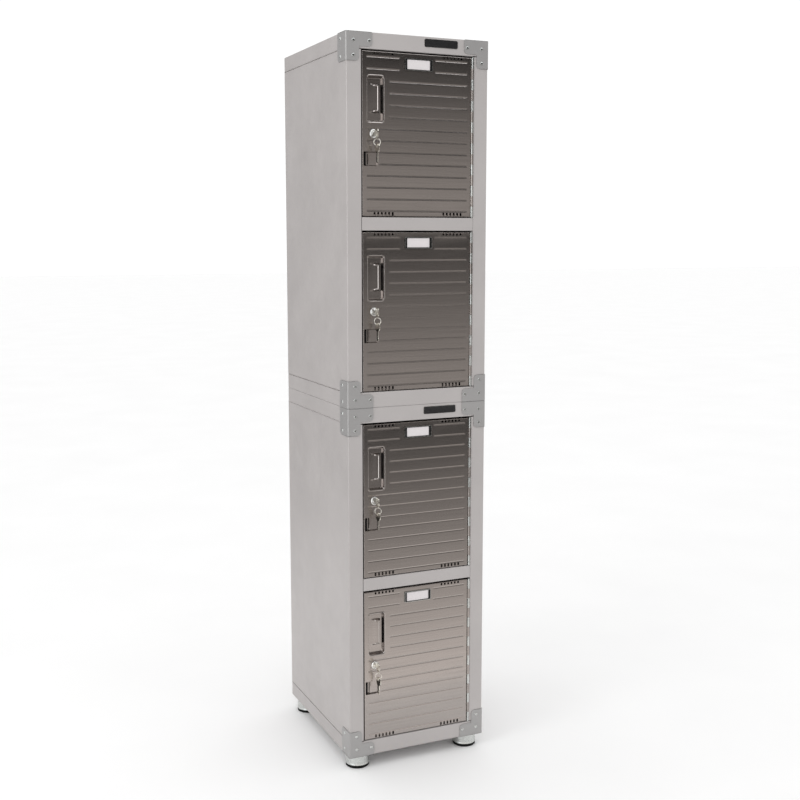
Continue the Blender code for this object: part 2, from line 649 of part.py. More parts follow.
# ---- Feet ---------------------------------------------------------------------------------------
def make_foot(name, x, y):
    """Levelling foot: zinc cup with its stem, on a rubber pad, with its origin on the floor."""
    shoulder = FOOT_HEIGHT - 2 * GAP
    cup = [(0.0, FOOT_HEIGHT + STEM_ABOVE), (STEM_RADIUS, FOOT_HEIGHT + STEM_ABOVE),
           (STEM_RADIUS, shoulder), (FOOT_RADIUS - BEND, shoulder), (FOOT_RADIUS, shoulder - BEND),
           (FOOT_RADIUS, PAD_HEIGHT + GAP), (0.0, PAD_HEIGHT + GAP)]
    foot = turned(f"foot_{name}", cup, False, "bright_zinc", (x, y, 0.0), FOOT_STEPS, False)
    pad = [(0.0, PAD_HEIGHT), (PAD_RADIUS, PAD_HEIGHT), (PAD_RADIUS, 0.0), (0.0, 0.0)]
    rubber = turned(f"foot_pad_{name}", pad, False, "foot_rubber", (x, y, 0.0), FOOT_STEPS, False)
    attach(rubber, foot)


# ---- Assembly -----------------------------------------------------------------------------------
def main():
    """Build both units, the four doors from the top down, and the feet."""
    for unit, base in UNITS.items():
        make_unit(unit, base)
    number = 0
    for base in UNITS.values():
        upper_top = base + UNIT_HEIGHT - CAP_DEPTH
        for top in (upper_top, upper_top - OPENING_HEIGHT - SHELF_RAIL):
            number += 1
            door = f"door_{number}"
            piece = make_door(door, top)
            make_hinge(door, top)
            make_lock(door, piece, top)
            make_staple(door, top)
    for name, (x, y) in foot_places().items():
        make_foot(name, x, y)


clear_scene()
PARTS = new_collection("locker_cabinet")
CUTTERS = new_collection("cutters")
main()
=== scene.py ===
"""Looks of the steel locker cabinet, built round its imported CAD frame.

Two stacked two-door units with ribbed doors. The front faces -Y and lengths are in metres.
Places on a door are measured right of and down from its opening's top left corner.
"""
import json
from math import asin, ceil, cos, degrees, pi, radians, sin
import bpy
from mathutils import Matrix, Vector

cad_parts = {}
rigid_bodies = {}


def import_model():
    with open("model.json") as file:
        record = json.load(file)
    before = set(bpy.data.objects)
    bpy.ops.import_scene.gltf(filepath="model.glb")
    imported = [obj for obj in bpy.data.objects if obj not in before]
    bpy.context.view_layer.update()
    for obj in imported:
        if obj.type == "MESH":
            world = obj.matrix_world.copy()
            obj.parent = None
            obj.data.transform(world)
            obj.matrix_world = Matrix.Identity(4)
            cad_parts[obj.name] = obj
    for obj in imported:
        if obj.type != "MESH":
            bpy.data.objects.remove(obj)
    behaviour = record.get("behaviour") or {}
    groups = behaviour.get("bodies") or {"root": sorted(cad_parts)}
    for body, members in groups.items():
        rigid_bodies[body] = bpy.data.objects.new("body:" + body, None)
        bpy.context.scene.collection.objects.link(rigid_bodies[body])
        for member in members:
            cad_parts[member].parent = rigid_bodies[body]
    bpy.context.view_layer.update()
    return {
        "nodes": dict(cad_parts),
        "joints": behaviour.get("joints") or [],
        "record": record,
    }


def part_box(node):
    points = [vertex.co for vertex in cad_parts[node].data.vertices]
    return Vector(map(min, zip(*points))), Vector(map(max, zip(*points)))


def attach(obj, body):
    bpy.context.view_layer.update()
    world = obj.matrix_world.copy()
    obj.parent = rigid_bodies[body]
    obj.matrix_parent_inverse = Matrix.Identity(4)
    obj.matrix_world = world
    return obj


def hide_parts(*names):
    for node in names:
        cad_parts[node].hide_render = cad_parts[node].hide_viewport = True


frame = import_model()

from types import SimpleNamespace

import bmesh
import bpy
import numpy as np
from mathutils import Matrix, Vector

MM = 0.001


def mm(*lengths):
    """Lengths that are given in millimetres."""
    return tuple(length * MM for length in lengths)


GAP = 0.3 * MM  # clearance between neighbours
EDGE = 0.3 * MM  # rounding of a blanked edge
SHEET = 1.0 * MM
TINY = 1e-6  # points nearer than this are one point
FLAT_ANGLE = radians(0.5)  # faces that meet at less than this are one face
SHARP_ANGLE = radians(25)  # edges that turn by more than this are rounded
NOISE_LOW, NOISE_HIGH = 0.3, 0.7  # nearly all of a noise value lies between these

# ---- Door sheet ----
DOOR_GAP_SIDE, DOOR_GAP_TOP, DOOR_GAP_BOTTOM = mm(2.8, 4.0, 2.0)
OPENING_WIDTH = 301.0 * MM
DOOR_TRAY = 13.5 * MM  # depth of the turned-back edges
DOOR_LIP = 5.0 * MM  # second return, behind the turned-back edges
DOOR_BEND = 1.5 * MM
RIB_COUNT, RIB_FIRST, RIB_PITCH = 14, 17.0 * MM, 27.9 * MM
RIB_ABOVE, RIB_BELOW, RIB_DEPTH, RIB_FADE = mm(2.8, 2.0, 0.75, 3.0)
RIB_LEFT, RIB_RIGHT = mm(12.8, 285.0)
RIB_BY_PULL, RIB_BY_HASP = mm(72.0, 46.0)
LABEL_GAP = mm(102.0, 194.0)
PULL = mm(15.5, 58.5, 61.0, 169.5)  # left, right, top, bottom
PULL_ROUND, PULL_DEPTH, PULL_WALL = mm(6.0, 10.5, 5.0)
RIM_HALF, RIM_RISE = mm(1.3, 0.8)
HOOD = mm(24.0, 46.5, 77.5, 147.5)
HOOD_RISE, HOOD_RAMP, HOOD_END, HOOD_ROUND = mm(7.0, 19.0, 4.0, 7.0)
HOOD_LIP, HOOD_LIP_RISE, HOOD_LIP_START = mm(3.0, 1.4, 34.0)
SLIT_WIDTH, SLIT_INSET = mm(4.0, 1.5)
HASP = mm(6.0, 43.0, 238.5, 272.5)
HASP_ROUND, HASP_DEPTH, HASP_WALL = mm(2.5, 8.0, 2.4)
HASP_SLOT = mm(7.2, 15.0, 240.0, 271.0)
HASP_STEP_AT, HASP_STEP, HASP_STEP_WIDTH = mm(17.0, 2.2, 2.0)
VENT_COUNT, VENT_FIRST, VENT_PITCH = 6, 34.0 * MM, 9.6 * MM
VENT_HALF_WIDTH, VENT_EDGE = mm(2.5, 1.6)
VENT_TOP_HALF, VENT_BOTTOM_HALF = mm(3.2, 4.6)
WIDEST_STEP, NEAREST_STEP = mm(14.0, 0.35)  # of the grid's lines

# ---- Body sheets ----
FOLD_RADIUS = 2.0 * MM  # outer radius of a fold
FOLD_ANGLE = radians(80)  # a fold turns by at least this
FOLD_WIDTH = 2.5  # and both its faces are wider than this many sheet thicknesses
SHEET_EDGE, BRACKET_EDGE = mm(0.2, 0.7)

# ---- Hinges ----
KNUCKLE_COUNT, KNUCKLE_RADIUS, KNUCKLE_BORE = 15, 3.0 * MM, 1.5 * MM
KNUCKLE_START, KNUCKLE_END = 48.0, 345.0  # degrees that the roll covers
KNUCKLE_WALL = 1.0 * MM
STAPLE_SHEET = 1.5 * MM
PIN_RADIUS, PIN_HEAD, PIN_HEAD_HEIGHT = mm(1.25, 2.5, 1.3)
PIN_DOME = ((0.0, 1.0), (0.55, 0.85), (0.9, 0.45), (1.0, 0.0))  # shares of the head's radius and height
LEAF_DEPTH, LEAF_CLEAR, LEAF_OVERLAP = mm(16.0, 0.4, 0.02)

# ---- Locks and keys ----
BEZEL_RADIUS, BEZEL_PROUD = mm(10.5, 4.0)
BEZEL_FACE = ((5.6, 0.4), (5.9, 0.1), (7.4, 0.0), (7.8, 0.35), (8.2, 0.35), (8.6, 0.1), (9.5, 0.5),
              (10.2, 1.3), (10.5, 2.2))  # radius and depth behind the front in mm
BARREL_RADIUS, BARREL_END, BORE_RADIUS = mm(8.4, 19.5, 5.6)
THREAD_DEPTH, THREAD_PITCH, THREAD_START = mm(0.5, 1.5, 3.0)
LOCK_HOLE = 9.3 * MM
NUT_RADIUS, NUT_THICK, NUT_MIDDLE = mm(12.5, 3.6, 3.0)
WASHER_RADIUS, WASHER_THICK, WASHER_MIDDLE = mm(13.0, 1.0, 0.6)
PLUG_RADIUS, PLUG_PROUD, TANG_RADIUS = mm(5.2, 4.4, 3.0)
PLUG_FACE = ((0.0, 0.0), (4.6, 0.0), (5.2, 0.5))  # the same for the plug
CAM_SHEET, CAM_HEAD, CAM_TAIL, CAM_REACH, TANG_HOLE = mm(2.0, 8.0, 6.5, 34.0, 3.4)
SCREW_OUTLINE = ((0.0, 0.0), (6.0, 0.0), (6.0, 0.8), (4.2, 0.8), (4.0, 2.4), (3.0, 3.0), (1.6, 3.0),
                 (1.4, 2.0), (0.0, 2.0))  # radius and depth behind the cam in mm
KEY_SHEET, KEY_HALF, KEY_TIP = mm(1.8, 3.4, 16.0)
KEY_CUTS = mm(0.9, 1.6, 0.6, 1.3, 1.0)
CUT_FIRST, CUT_PITCH = mm(1.5, 2.5)
CUT_SLOPE, CUT_FLOOR, CUT_END = mm(0.9, 1.6, 2.3)  # where each stretch of a cut ends
BOW_CENTRE, BOW_RADIUS, BOW_HOLE, BOW_HOLE_AT = mm(19.0, 11.5, 2.6, 23.0)
LINK_WIRE, LINK_HALF_WIDTH, LINK_HEIGHT = mm(0.6, 2.6, 12.5)
RING_WIRE, RING_RADIUS = mm(0.7, 8.0)
WIRE_SIDES = 10
LINK_HEADING, RING_HEADING, SPARE_HEADING = 38.0, -30.0, 95.0

# ---- Labels and badges ----
LABEL_CENTRE_DOWN, LABEL_SIZE, CARD_SIZE = 29.5 * MM, mm(73.5, 27.6), mm(61.7, 23.6)
LABEL_RISE, LABEL_SHEET, LABEL_BEAD = mm(0.9, 0.6, 1.0)
LABEL_ROUND, WINDOW_ROUND, WINDOW_LAP = mm(1.6, 1.0, 1.0)
LABEL_FOOT, LABEL_FOOT_ROUND, LABEL_FOOT_INSET, LABEL_FOOT_SHORT = mm(3.6, 0.8, 2.6, 3.0)
CARD_RISE, CARD_BOW, CARD_THICK = mm(0.35, 0.25, 0.25)
BADGE_SIZE, BADGE_RIGHT, BADGE_DOWN, BADGE_THICK = mm(88.0, 17.5), 59.5 * MM, 15.0 * MM, 1.4 * MM
BADGE_ROUND, BADGE_RIM, BADGE_RIM_GAP, BADGE_RIM_PROUD = mm(3.0, 0.8, 0.05, 0.1)

# ---- Rivets, bolts and feet ----
RIVET_RADIUS, RIVET_RISE, DIMPLE_RADIUS, DIMPLE_DEPTH = mm(4.1, 1.6, 1.1, 1.0)
RIVET_TURNS = (4, 25, 48, 70, 84)  # degrees round the dome
FRONT_RIVETS = (mm(20.0, 20.5), mm(60.0, 20.0), mm(19.5, 55.0))
SIDE_RIVETS = (mm(35.0, 14.5), mm(35.0, 56.0))
BACK_RIVETS, BACK_RIVET_INSET, BACK_RIVET_END = 6, 8.0 * MM, 60.0 * MM
BOLT_INSET, BOLT_SET_BACK, BOLT_HEAD, BOLT_SHANK = mm(42.0, 10.0, 6.5, 3.0)
BOLT_HEIGHT, BOLT_BEVEL, BOLT_WASHER = mm(5.0, 0.8, 1.0)
SHANK_ABOVE, SHANK_BELOW = mm(0.5, 6.0)
STEM_RADIUS, STEM_ABOVE, STEM_BEVEL = mm(5.0, 18.0, 0.8)
CUP_ROUND, CUP_SHOULDER, CUP_TURNS = 4.0 * MM, 1.0 * MM, (0, 22, 45, 68, 90)
CUP_FLARE = ((1.0, 6.0), (0.7, 3.5), (0.0, 1.4), (0.0, 0.6), (0.5, 0.0))  # in and up in mm
PAD_HEIGHT, PAD_RADIUS = mm(7.0, 30.0)
PAD_EDGE = ((0.6, 0.0), (0.0, 0.6), (0.0, 1.8), (0.5, 2.2), (0.5, 2.7), (0.0, 3.1))  # in and down in mm
PAD_BEVEL = 0.8 * MM
FOOT_NUT_RADIUS, FOOT_NUT_THICK = mm(9.5, 6.0)

# ---- Studio: a card has a size, a place, a point that it faces and a strength ----
FLAG_LEFT, FLAG_RIGHT, FLAG_TOP, FLAG_Y = -0.75, 1.6, 2.3, -0.66
FLAG_DARK, FLAG_PALE, FLAG_FLOOR = 0.02, 0.62, 1.2
FLAG_TINT, FLAG_BLEND, FLAG_MARGIN = (1.0, 0.96, 0.93), 10 * MM, 20 * MM
CARDS = {
    "side_flag": ((2.4, 2.6), (-1.45, 1.9, 1.3), (-1.45, 0.0, 1.3), 0.12),
    "top_glow": ((3.0, 1.1), (0.0, -1.0, 2.9), (0.0, -1.0, 0.0), 2.6),
    "left_glow": ((0.55, 2.4), (-1.3, -0.72, 1.2), (-0.19, -0.21, 1.2), 2.6),
}
CARD_TINT = (0.96, 0.98, 1.0, 1.0)
FLOOR_SIZE, FLOOR_DOWN = (80.0, 80.0), 0.5 * MM
STRIP_PLACE, STRIP_TARGET, STRIP_SIZE, STRIP_POWER = (-2.6, -1.0, 2.0), (-0.15, -0.15, 1.3), 1.2, 12.0
SKY_STRENGTH = 1.05
CAMERA_PLACE = Vector((-1.196, -2.767, 1.346))
CAMERA_DOWN, CAMERA_TURN, CAMERA_LENS, CAMERA_SHIFT = 7.31, -24.17, 51.15, -0.02

SCENE = bpy.context.scene
BODY = "cabinet"
JOINTS = {joint["name"]: joint for joint in frame["joints"]}
BODY_OF = {node: body for body, nodes in frame["record"]["behaviour"]["bodies"].items() for node in nodes}
FACING = Matrix.Rotation(pi / 2, 4, "X")  # turns local +Z to face the front
UP = Vector((0.0, 0.0, 1.0))
SHARED = {}  # mesh of each kind of piece that repeats


# ---- Materials ----
def filled(node, values):
    """A shader node with some of its inputs set."""
    for name, value in values.items():
        node.inputs[name].default_value = value
    return node


class Shader:
    """A Principled material and short calls for the nodes that it needs."""

    def __init__(self, name, metallic, coat=0.0, specular=0.5):
        self.material = bpy.data.materials.new(name)
        self.material.use_nodes = True
        self.tree = self.material.node_tree
        self.shader = filled(self.tree.nodes["Principled BSDF"], {
            "Metallic": metallic, "Coat Weight": coat, "Specular IOR Level": specular})
        self.place = self.node("TexCoord", {}).outputs["Object"]

    def node(self, kind, values):
        """A new node with some of its inputs set."""
        return filled(self.tree.nodes.new(f"ShaderNode{kind}"), values)

    def link(self, output, socket):
        """Join two sockets."""
        self.tree.links.new(output, socket)

    def noise(self, scale, stretch=(1.0, 1.0, 1.0), detail=3.0):
        """A noise value over the piece, with its own stretch along each axis."""
        mapping = self.node("Mapping", {"Scale": stretch})
        texture = self.node("TexNoise", {"Scale": scale, "Detail": detail})
        self.link(self.place, mapping.inputs["Vector"])
        self.link(mapping.outputs["Vector"], texture.inputs["Vector"])
        return texture.outputs["Fac"]

    def ramp(self, value, stops, socket):
        """Colour that runs through (value, colour) stops, into one of the shader's sockets."""
        ramp = self.node("ValToRGB", {})
        elements = ramp.color_ramp.elements
        while len(elements) < len(stops):
            elements.new(0.5)
        for element, (place, tone) in zip(elements, stops):
            element.position = place
            element.color = (*tone, 1.0)
        self.link(value, ramp.inputs["Fac"])
        self.link(ramp.outputs["Color"], self.shader.inputs[socket])

    def colour(self, value, low, high, dark, light):
        """Base colour that turns from dark to light as a value goes from low to high."""
        self.ramp(value, ((low, dark), (high, light)), "Base Color")

    def roughness(self, value, low, high):
        """Roughness between two limits as a noise value varies."""
        ranged = self.node("MapRange", {
            "From Min": NOISE_LOW, "From Max": NOISE_HIGH, "To Min": low, "To Max": high})
        self.link(value, ranged.inputs["Value"])
        self.link(ranged.outputs["Result"], self.shader.inputs["Roughness"])

    def bump(self, value, distance, strength):
        """Lay one more bump over those before it."""
        bump = self.node("Bump", {"Distance": distance, "Strength": strength})
        normal = self.shader.inputs["Normal"]
        if normal.links:
            self.link(normal.links[0].from_socket, bump.inputs["Normal"])
        self.link(value, bump.inputs["Height"])
        self.link(bump.outputs["Normal"], normal)


def shade(colour, factor):
    """A colour made darker or lighter."""
    return tuple(channel * factor for channel in colour)


def powder_coat(name, colour, metallic, low, high):
    """Satin powder coat: faint mottling and orange peel."""
    made = Shader(name, metallic)
    made.colour(made.noise(6.0, detail=5.0), 0.35, 0.65, shade(colour, 0.965), shade(colour, 1.03))
    made.roughness(made.noise(28.0), low, high)
    made.bump(made.noise(900.0, detail=1.0), 0.05 * MM, 0.5)
    made.bump(made.noise(60.0, detail=2.0), 0.08 * MM, 0.25)
    return made.material


def door_finish():
    """Graphite metallic coat with a faint drawn grain along the ribs."""
    colour = (0.395, 0.36, 0.34)
    made = Shader("door_metallic", 0.97)
    streaks = made.noise(1.0, stretch=(5.0, 60.0, 420.0), detail=4.0)
    made.colour(streaks, 0.3, 0.7, shade(colour, 0.94), shade(colour, 1.06))
    made.roughness(made.noise(1.0, stretch=(8.0, 30.0, 70.0)), 0.17, 0.24)
    made.bump(streaks, 0.006 * MM, 0.5)
    made.bump(made.noise(7.0, detail=1.0), 0.12 * MM, 0.2)
    return made.material


def plated(name, colour, rough, grain, spangle):
    """Plated metal with spangle in its colour and fine handling marks in its gloss."""
    made = Shader(name, 1.0)
    cells = made.node("TexVoronoi", {"Scale": spangle})
    made.link(made.place, cells.inputs["Vector"])
    made.colour(cells.outputs["Distance"], 0.1, 0.8, shade(colour, 0.9), shade(colour, 1.06))
    made.roughness(made.noise(grain, detail=4.0), rough * 0.75, rough * 1.35)
    made.bump(made.noise(grain * 4.0, detail=2.0), 0.01 * MM, 0.5)
    return made.material


def rubber_finish():
    """Black rubber, matt and slightly dusty."""
    made = Shader("rubber", 0.0, specular=0.2)
    made.colour(made.noise(90.0, detail=5.0), 0.4, 0.75, (0.005, 0.005, 0.005), (0.014, 0.014, 0.013))
    made.roughness(made.noise(160.0), 0.65, 0.9)
    made.bump(made.noise(700.0), 0.08 * MM, 0.6)
    return made.material


def streaked(name, stretch, detail, tones, gloss, relief, **look):
    """Flat plate whose streaks show in its colour and its surface, such as fibres or hairlines."""
    made = Shader(name, 0.0, **look)
    streaks = made.noise(1.0, stretch=stretch, detail=detail)
    made.colour(streaks, 0.3, 0.7, *tones)
    made.roughness(made.noise(gloss[0]), *gloss[1:])
    made.bump(streaks, *relief)
    return made.material


def floor_finish():
    """Plain pale studio floor."""
    made = Shader("floor", 0.0, specular=0.1)
    made.colour(made.noise(2.0), 0.3, 0.7, (0.93, 0.93, 0.93), (0.95, 0.95, 0.95))
    made.roughness(made.noise(5.0), 0.8, 0.9)
    return made.material


FINISHES = {
    "body_paint": powder_coat("body_coat", (0.425, 0.40, 0.392), 0.0, 0.38, 0.5),
    "bracket_paint": powder_coat("bracket_coat", (0.33, 0.322, 0.318), 0.12, 0.34, 0.46),
    "door_paint": door_finish(),
    "bright_zinc": plated("zinc", (0.60, 0.615, 0.60), 0.27, 130.0, 220.0),
    # Near-black coat: the label frame's own colour, and on the staples a painted shade that stands for the
    # dark of the slot round them.
    "black_steel": powder_coat("black_oxide", (0.016, 0.016, 0.016), 0.5, 0.35, 0.5),
    "lock_chrome": plated("chrome", (0.82, 0.82, 0.80), 0.11, 220.0, 60.0),
    "key_nickel": plated("nickel", (0.76, 0.73, 0.66), 0.2, 420.0, 150.0),
    "foot_rubber": rubber_finish(),
    "label_card": streaked("card", (500.0, 500.0, 900.0), 6.0, ((0.62, 0.585, 0.59), (0.72, 0.685, 0.69)),
                           (40.0, 0.7, 0.85), (0.04 * MM, 0.7), specular=0.3),
    "badge_plate": streaked("badge", (40.0, 40.0, 1800.0), 3.0, ((0.014, 0.014, 0.015), (0.03, 0.029, 0.03)),
                            (120.0, 0.14, 0.26), (0.01 * MM, 0.5), coat=0.4),
}


# ---- Pieces ----
def linked(name, data):
    """A new object in the scene with its data."""
    made = bpy.data.objects.new(name, data)
    SCENE.collection.objects.link(made)
    return made


def mesh_of(bm, name):
    """A mesh with the content of a bmesh, which is used up."""
    mesh = bpy.data.meshes.new(name)
    bm.to_mesh(mesh)
    bm.free()
    return mesh


def evaluated(holder):
    """An object as its modifiers leave it."""
    return holder.evaluated_get(bpy.context.evaluated_depsgraph_get())


def placed(name, mesh, body, place, stands_for):
    """A mesh as a piece of the cabinet, riding on a body."""
    made = linked(name, mesh)
    made.location = place
    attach(made, body)
    if stands_for:
        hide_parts(*stands_for)
    return made


def piece(name, bm, finish, body, place=(0.0, 0.0, 0.0), stands_for=(), sharp=32.0):
    """A bmesh as a piece of the cabinet, painted and smooth by angle."""
    mesh = mesh_of(bm, name)
    mesh.materials.append(FINISHES[finish])
    mesh.shade_smooth()
    mesh.set_sharp_from_angle(angle=radians(sharp))
    return placed(name, weighted(mesh), body, place, stands_for)


def weighted(mesh):
    """The same mesh with normals weighted by area: flat faces stay flat beside rounded edges."""
    name = mesh.name
    holder = linked(name, mesh)
    holder.modifiers.new("weigh", "WEIGHTED_NORMAL").keep_sharp = True
    result = bpy.data.meshes.new_from_object(evaluated(holder))
    bpy.data.batch_remove([holder, mesh])
    result.name = name
    return result


def repeated(kind, name, build, finish, body, place, stands_for=()):
    """A piece of a kind that repeats, whose mesh is built once."""
    if kind in SHARED:
        placed(name, SHARED[kind], body, place, stands_for)
    else:
        SHARED[kind] = piece(name, build(), finish, body, place, stands_for).data


# ---- Mesh helpers ----
def taken(holder):
    """The bmesh of a work object as its modifiers leave it. The object and its data are removed."""
    shaped = evaluated(holder)
    result = bmesh.new()
    result.from_mesh(shaped.to_mesh())
    shaped.to_mesh_clear()
    bpy.data.batch_remove([holder, holder.data])
    return result


def thickened(bm, thickness):
    """Give an open sheet its thickness behind its outer face."""
    holder = linked("work", mesh_of(bm, "work"))
    solid = holder.modifiers.new("sheet", "SOLIDIFY")
    solid.thickness = thickness
    solid.offset = -1.0
    solid.use_even_offset = True
    return taken(holder)


def combined(bm, tool, operation):
    """Join another closed mesh to a closed mesh, or cut it out."""
    holder = linked("work", mesh_of(bm, "work"))
    other = linked("tool", mesh_of(tool, "tool"))
    boolean = holder.modifiers.new("boolean", "BOOLEAN")
    boolean.object = other
    boolean.operation = operation
    boolean.solver = "EXACT"
    result = taken(holder)
    bpy.data.batch_remove([other, other.data])
    return result


def soften(bm, width):
    """Round every sharp edge."""
    bm.normal_update()
    edges = [edge for edge in bm.edges if len(edge.link_faces) == 2 and edge.calc_face_angle() > SHARP_ANGLE]
    bmesh.ops.bevel(bm, geom=edges, offset=width, segments=2, profile=0.5,
                    affect="EDGES", clamp_overlap=True)
    return bm


def cleaned(bm):
    """Weld double points and take away the edges inside flat faces."""
    bmesh.ops.remove_doubles(bm, verts=bm.verts, dist=TINY)
    bmesh.ops.dissolve_limit(bm, angle_limit=FLAT_ANGLE, verts=bm.verts, edges=bm.edges)
    return bm


def round_folds(bm, thickness):
    """Give folds of sheet metal their radius: the edges between faces wider than the sheet is thick."""
    bm.normal_update()
    for convex, radius in ((True, FOLD_RADIUS), (False, FOLD_RADIUS - thickness)):
        folds = []
        for edge in bm.edges:
            if len(edge.link_faces) != 2 or edge.is_convex != convex:
                continue
            widths = [face.calc_area() / edge.calc_length() for face in edge.link_faces]
            if edge.calc_face_angle() > FOLD_ANGLE and min(widths) > FOLD_WIDTH * thickness:
                folds.append(edge)
        bmesh.ops.bevel(bm, geom=folds, offset=radius, segments=3, profile=0.5, affect="EDGES")
        bmesh.ops.dissolve_degenerate(bm, dist=TINY, edges=bm.edges)
        bm.normal_update()


def refined(node, finish, width, thickness=SHEET):
    """Stand for a CAD node with the same solid, its edges rounded as folded or blanked metal is."""
    bm = bmesh.new()
    bm.from_mesh(frame["nodes"][node].data)
    round_folds(cleaned(bm), thickness)
    soften(bm, width)
    piece(f"{node}_sheet", bm, finish, BODY_OF[node], stands_for=[node])


def block(low, high):
    """Closed box between two corners."""
    bm = bmesh.new()
    size = Vector(high) - Vector(low)
    middle = (Vector(high) + Vector(low)) / 2
    bmesh.ops.create_cube(bm, size=1.0, matrix=Matrix.Translation(middle) @ Matrix.Diagonal((*size, 1.0)))
    return bm


def joined(parts):
    """Put several bmeshes into one."""
    whole = bmesh.new()
    for part in parts:
        mesh = mesh_of(part, "part")
        whole.from_mesh(mesh)
        bpy.data.meshes.remove(mesh)
    return whole


def moved(bm, offset):
    """Shift a bmesh."""
    bmesh.ops.translate(bm, verts=bm.verts, vec=offset)
    return bm


def turned(bm, matrix):
    """Place a bmesh by a matrix."""
    bmesh.ops.transform(bm, matrix=matrix, verts=bm.verts)
    return bm


def trimmed(bm):
    """Take away the points that no face uses."""
    bmesh.ops.delete(bm, geom=[vert for vert in bm.verts if not vert.link_faces], context="VERTS")
    return bm


def facing_at(depth):
    """Turned to face the front, at a depth behind the door's face."""
    return Matrix.Translation((0.0, depth, 0.0)) @ FACING


def steps_between(start, end, parts):
    """Evenly spaced values from start to end."""
    return [start + (end - start) * part / parts for part in range(parts + 1)]


def arc(radius, start, end, steps, centre=(0.0, 0.0)):
    """Points on an arc, from a start to an end angle in degrees."""
    return [(centre[0] + radius * cos(a), centre[1] + radius * sin(a))
            for a in map(radians, steps_between(start, end, steps))]


def circle(radius, steps, centre=(0.0, 0.0)):
    """Points on a full circle."""
    return arc(radius, 0, 360, steps, centre)[:-1]


def band(bm, here, there):
    """Faces between two closed loops of points, either of which may be a single point."""
    count = max(len(here), len(there))
    for index in range(count):
        after = (index + 1) % count
        corners = dict.fromkeys((here[index % len(here)], here[after % len(here)],
                                 there[after % len(there)], there[index % len(there)]))
        if len(corners) > 2:
            bm.faces.new(corners)


def lathe(profile, steps, matrix=Matrix.Identity(4)):
    """Closed solid turned about local Z from (radius, height) points, top first, and placed."""
    bm = bmesh.new()
    rings = []
    for radius, height in profile:
        count = 1 if radius < TINY else steps
        rings.append([bm.verts.new((x, y, height)) for x, y in circle(radius, count)])
    if profile[0] == profile[-1]:
        rings[-1] = rings[0]
    for upper, lower in zip(rings, rings[1:]):
        band(bm, upper, lower)
    bmesh.ops.recalc_face_normals(bm, faces=bm.faces)
    return turned(trimmed(bm), matrix)


def thread(radius, top, end):
    """Profile points of a thread, drawn as plain grooves from its top down to its end."""
    points = []
    while top - THREAD_PITCH > end:
        points += [(radius, top), (radius - THREAD_DEPTH, top - THREAD_PITCH / 2)]
        top -= THREAD_PITCH
    return points


def rounded_box(width, height, radius):
    """Outline of a rounded rectangle about its own centre."""
    x, y = width / 2 - radius, height / 2 - radius
    outline = []
    for centre, start in (((x, y), 0), ((-x, y), 90), ((-x, -y), 180), ((x, -y), 270)):
        outline += arc(radius, start, start + 90, 6, centre)
    return outline


def plate(outlines, thickness, matrix=Matrix.Identity(4)):
    """Flat plate from closed outlines in its own XY plane, placed by a matrix."""
    curve = bpy.data.curves.new("outline", "CURVE")
    curve.dimensions = "2D"
    curve.fill_mode = "BOTH"
    curve.extrude = thickness / 2
    for outline in outlines:
        spline = curve.splines.new("POLY")
        spline.points.add(len(outline) - 1)
        for point, (x, y) in zip(spline.points, outline):
            point.co = (x, y, 0.0, 1.0)
        spline.use_cyclic_u = True
    bm = cleaned(taken(linked("outline", curve)))
    bmesh.ops.recalc_face_normals(bm, faces=bm.faces)
    return turned(bm, matrix)


def wire(points, radius):
    """Closed round wire along a loop of points."""
    bm = bmesh.new()
    rings = []
    for before, point, after in zip(points[-1:] + points, points, points[1:] + points[:1]):
        along = (after - before).normalized()
        side = along.cross(UP).normalized()
        over = along.cross(side)
        rings.append([bm.verts.new(point + x * side + y * over) for x, y in circle(radius, WIRE_SIDES)])
    for here, there in zip(rings, rings[1:] + rings[:1]):
        band(bm, here, there)
    bmesh.ops.recalc_face_normals(bm, faces=bm.faces)
    return bm


# ---- Door sheet ----
def smooth(value):
    """Smooth step of a value from 0 to 1."""
    value = np.clip(value, 0.0, 1.0)
    return value * value * (3.0 - 2.0 * value)


def box_distance(x, down, box, radius):
    """Signed distance to a rounded rectangle, negative inside."""
    left, right, top, bottom = box
    over_x = np.abs(x - (left + right) / 2) - (right - left) / 2 + radius
    over_z = np.abs(down - (top + bottom) / 2) - (bottom - top) / 2 + radius
    outside = np.hypot(np.maximum(over_x, 0.0), np.maximum(over_z, 0.0))
    return outside + np.minimum(np.maximum(over_x, over_z), 0.0) - radius


def rib_stretches(index):
    """Start and end of each stretch of a rib, which stops short of what it meets."""
    if index < 2:
        return [(RIB_LEFT, LABEL_GAP[0]), (LABEL_GAP[1], RIB_RIGHT)]
    middle = RIB_FIRST + index * RIB_PITCH
    if PULL[2] < middle < PULL[3]:
        return [(RIB_BY_PULL, RIB_RIGHT)]
    if HASP[2] < middle < HASP[3]:
        return [(RIB_BY_HASP, RIB_RIGHT)]
    return [(RIB_LEFT, RIB_RIGHT)]


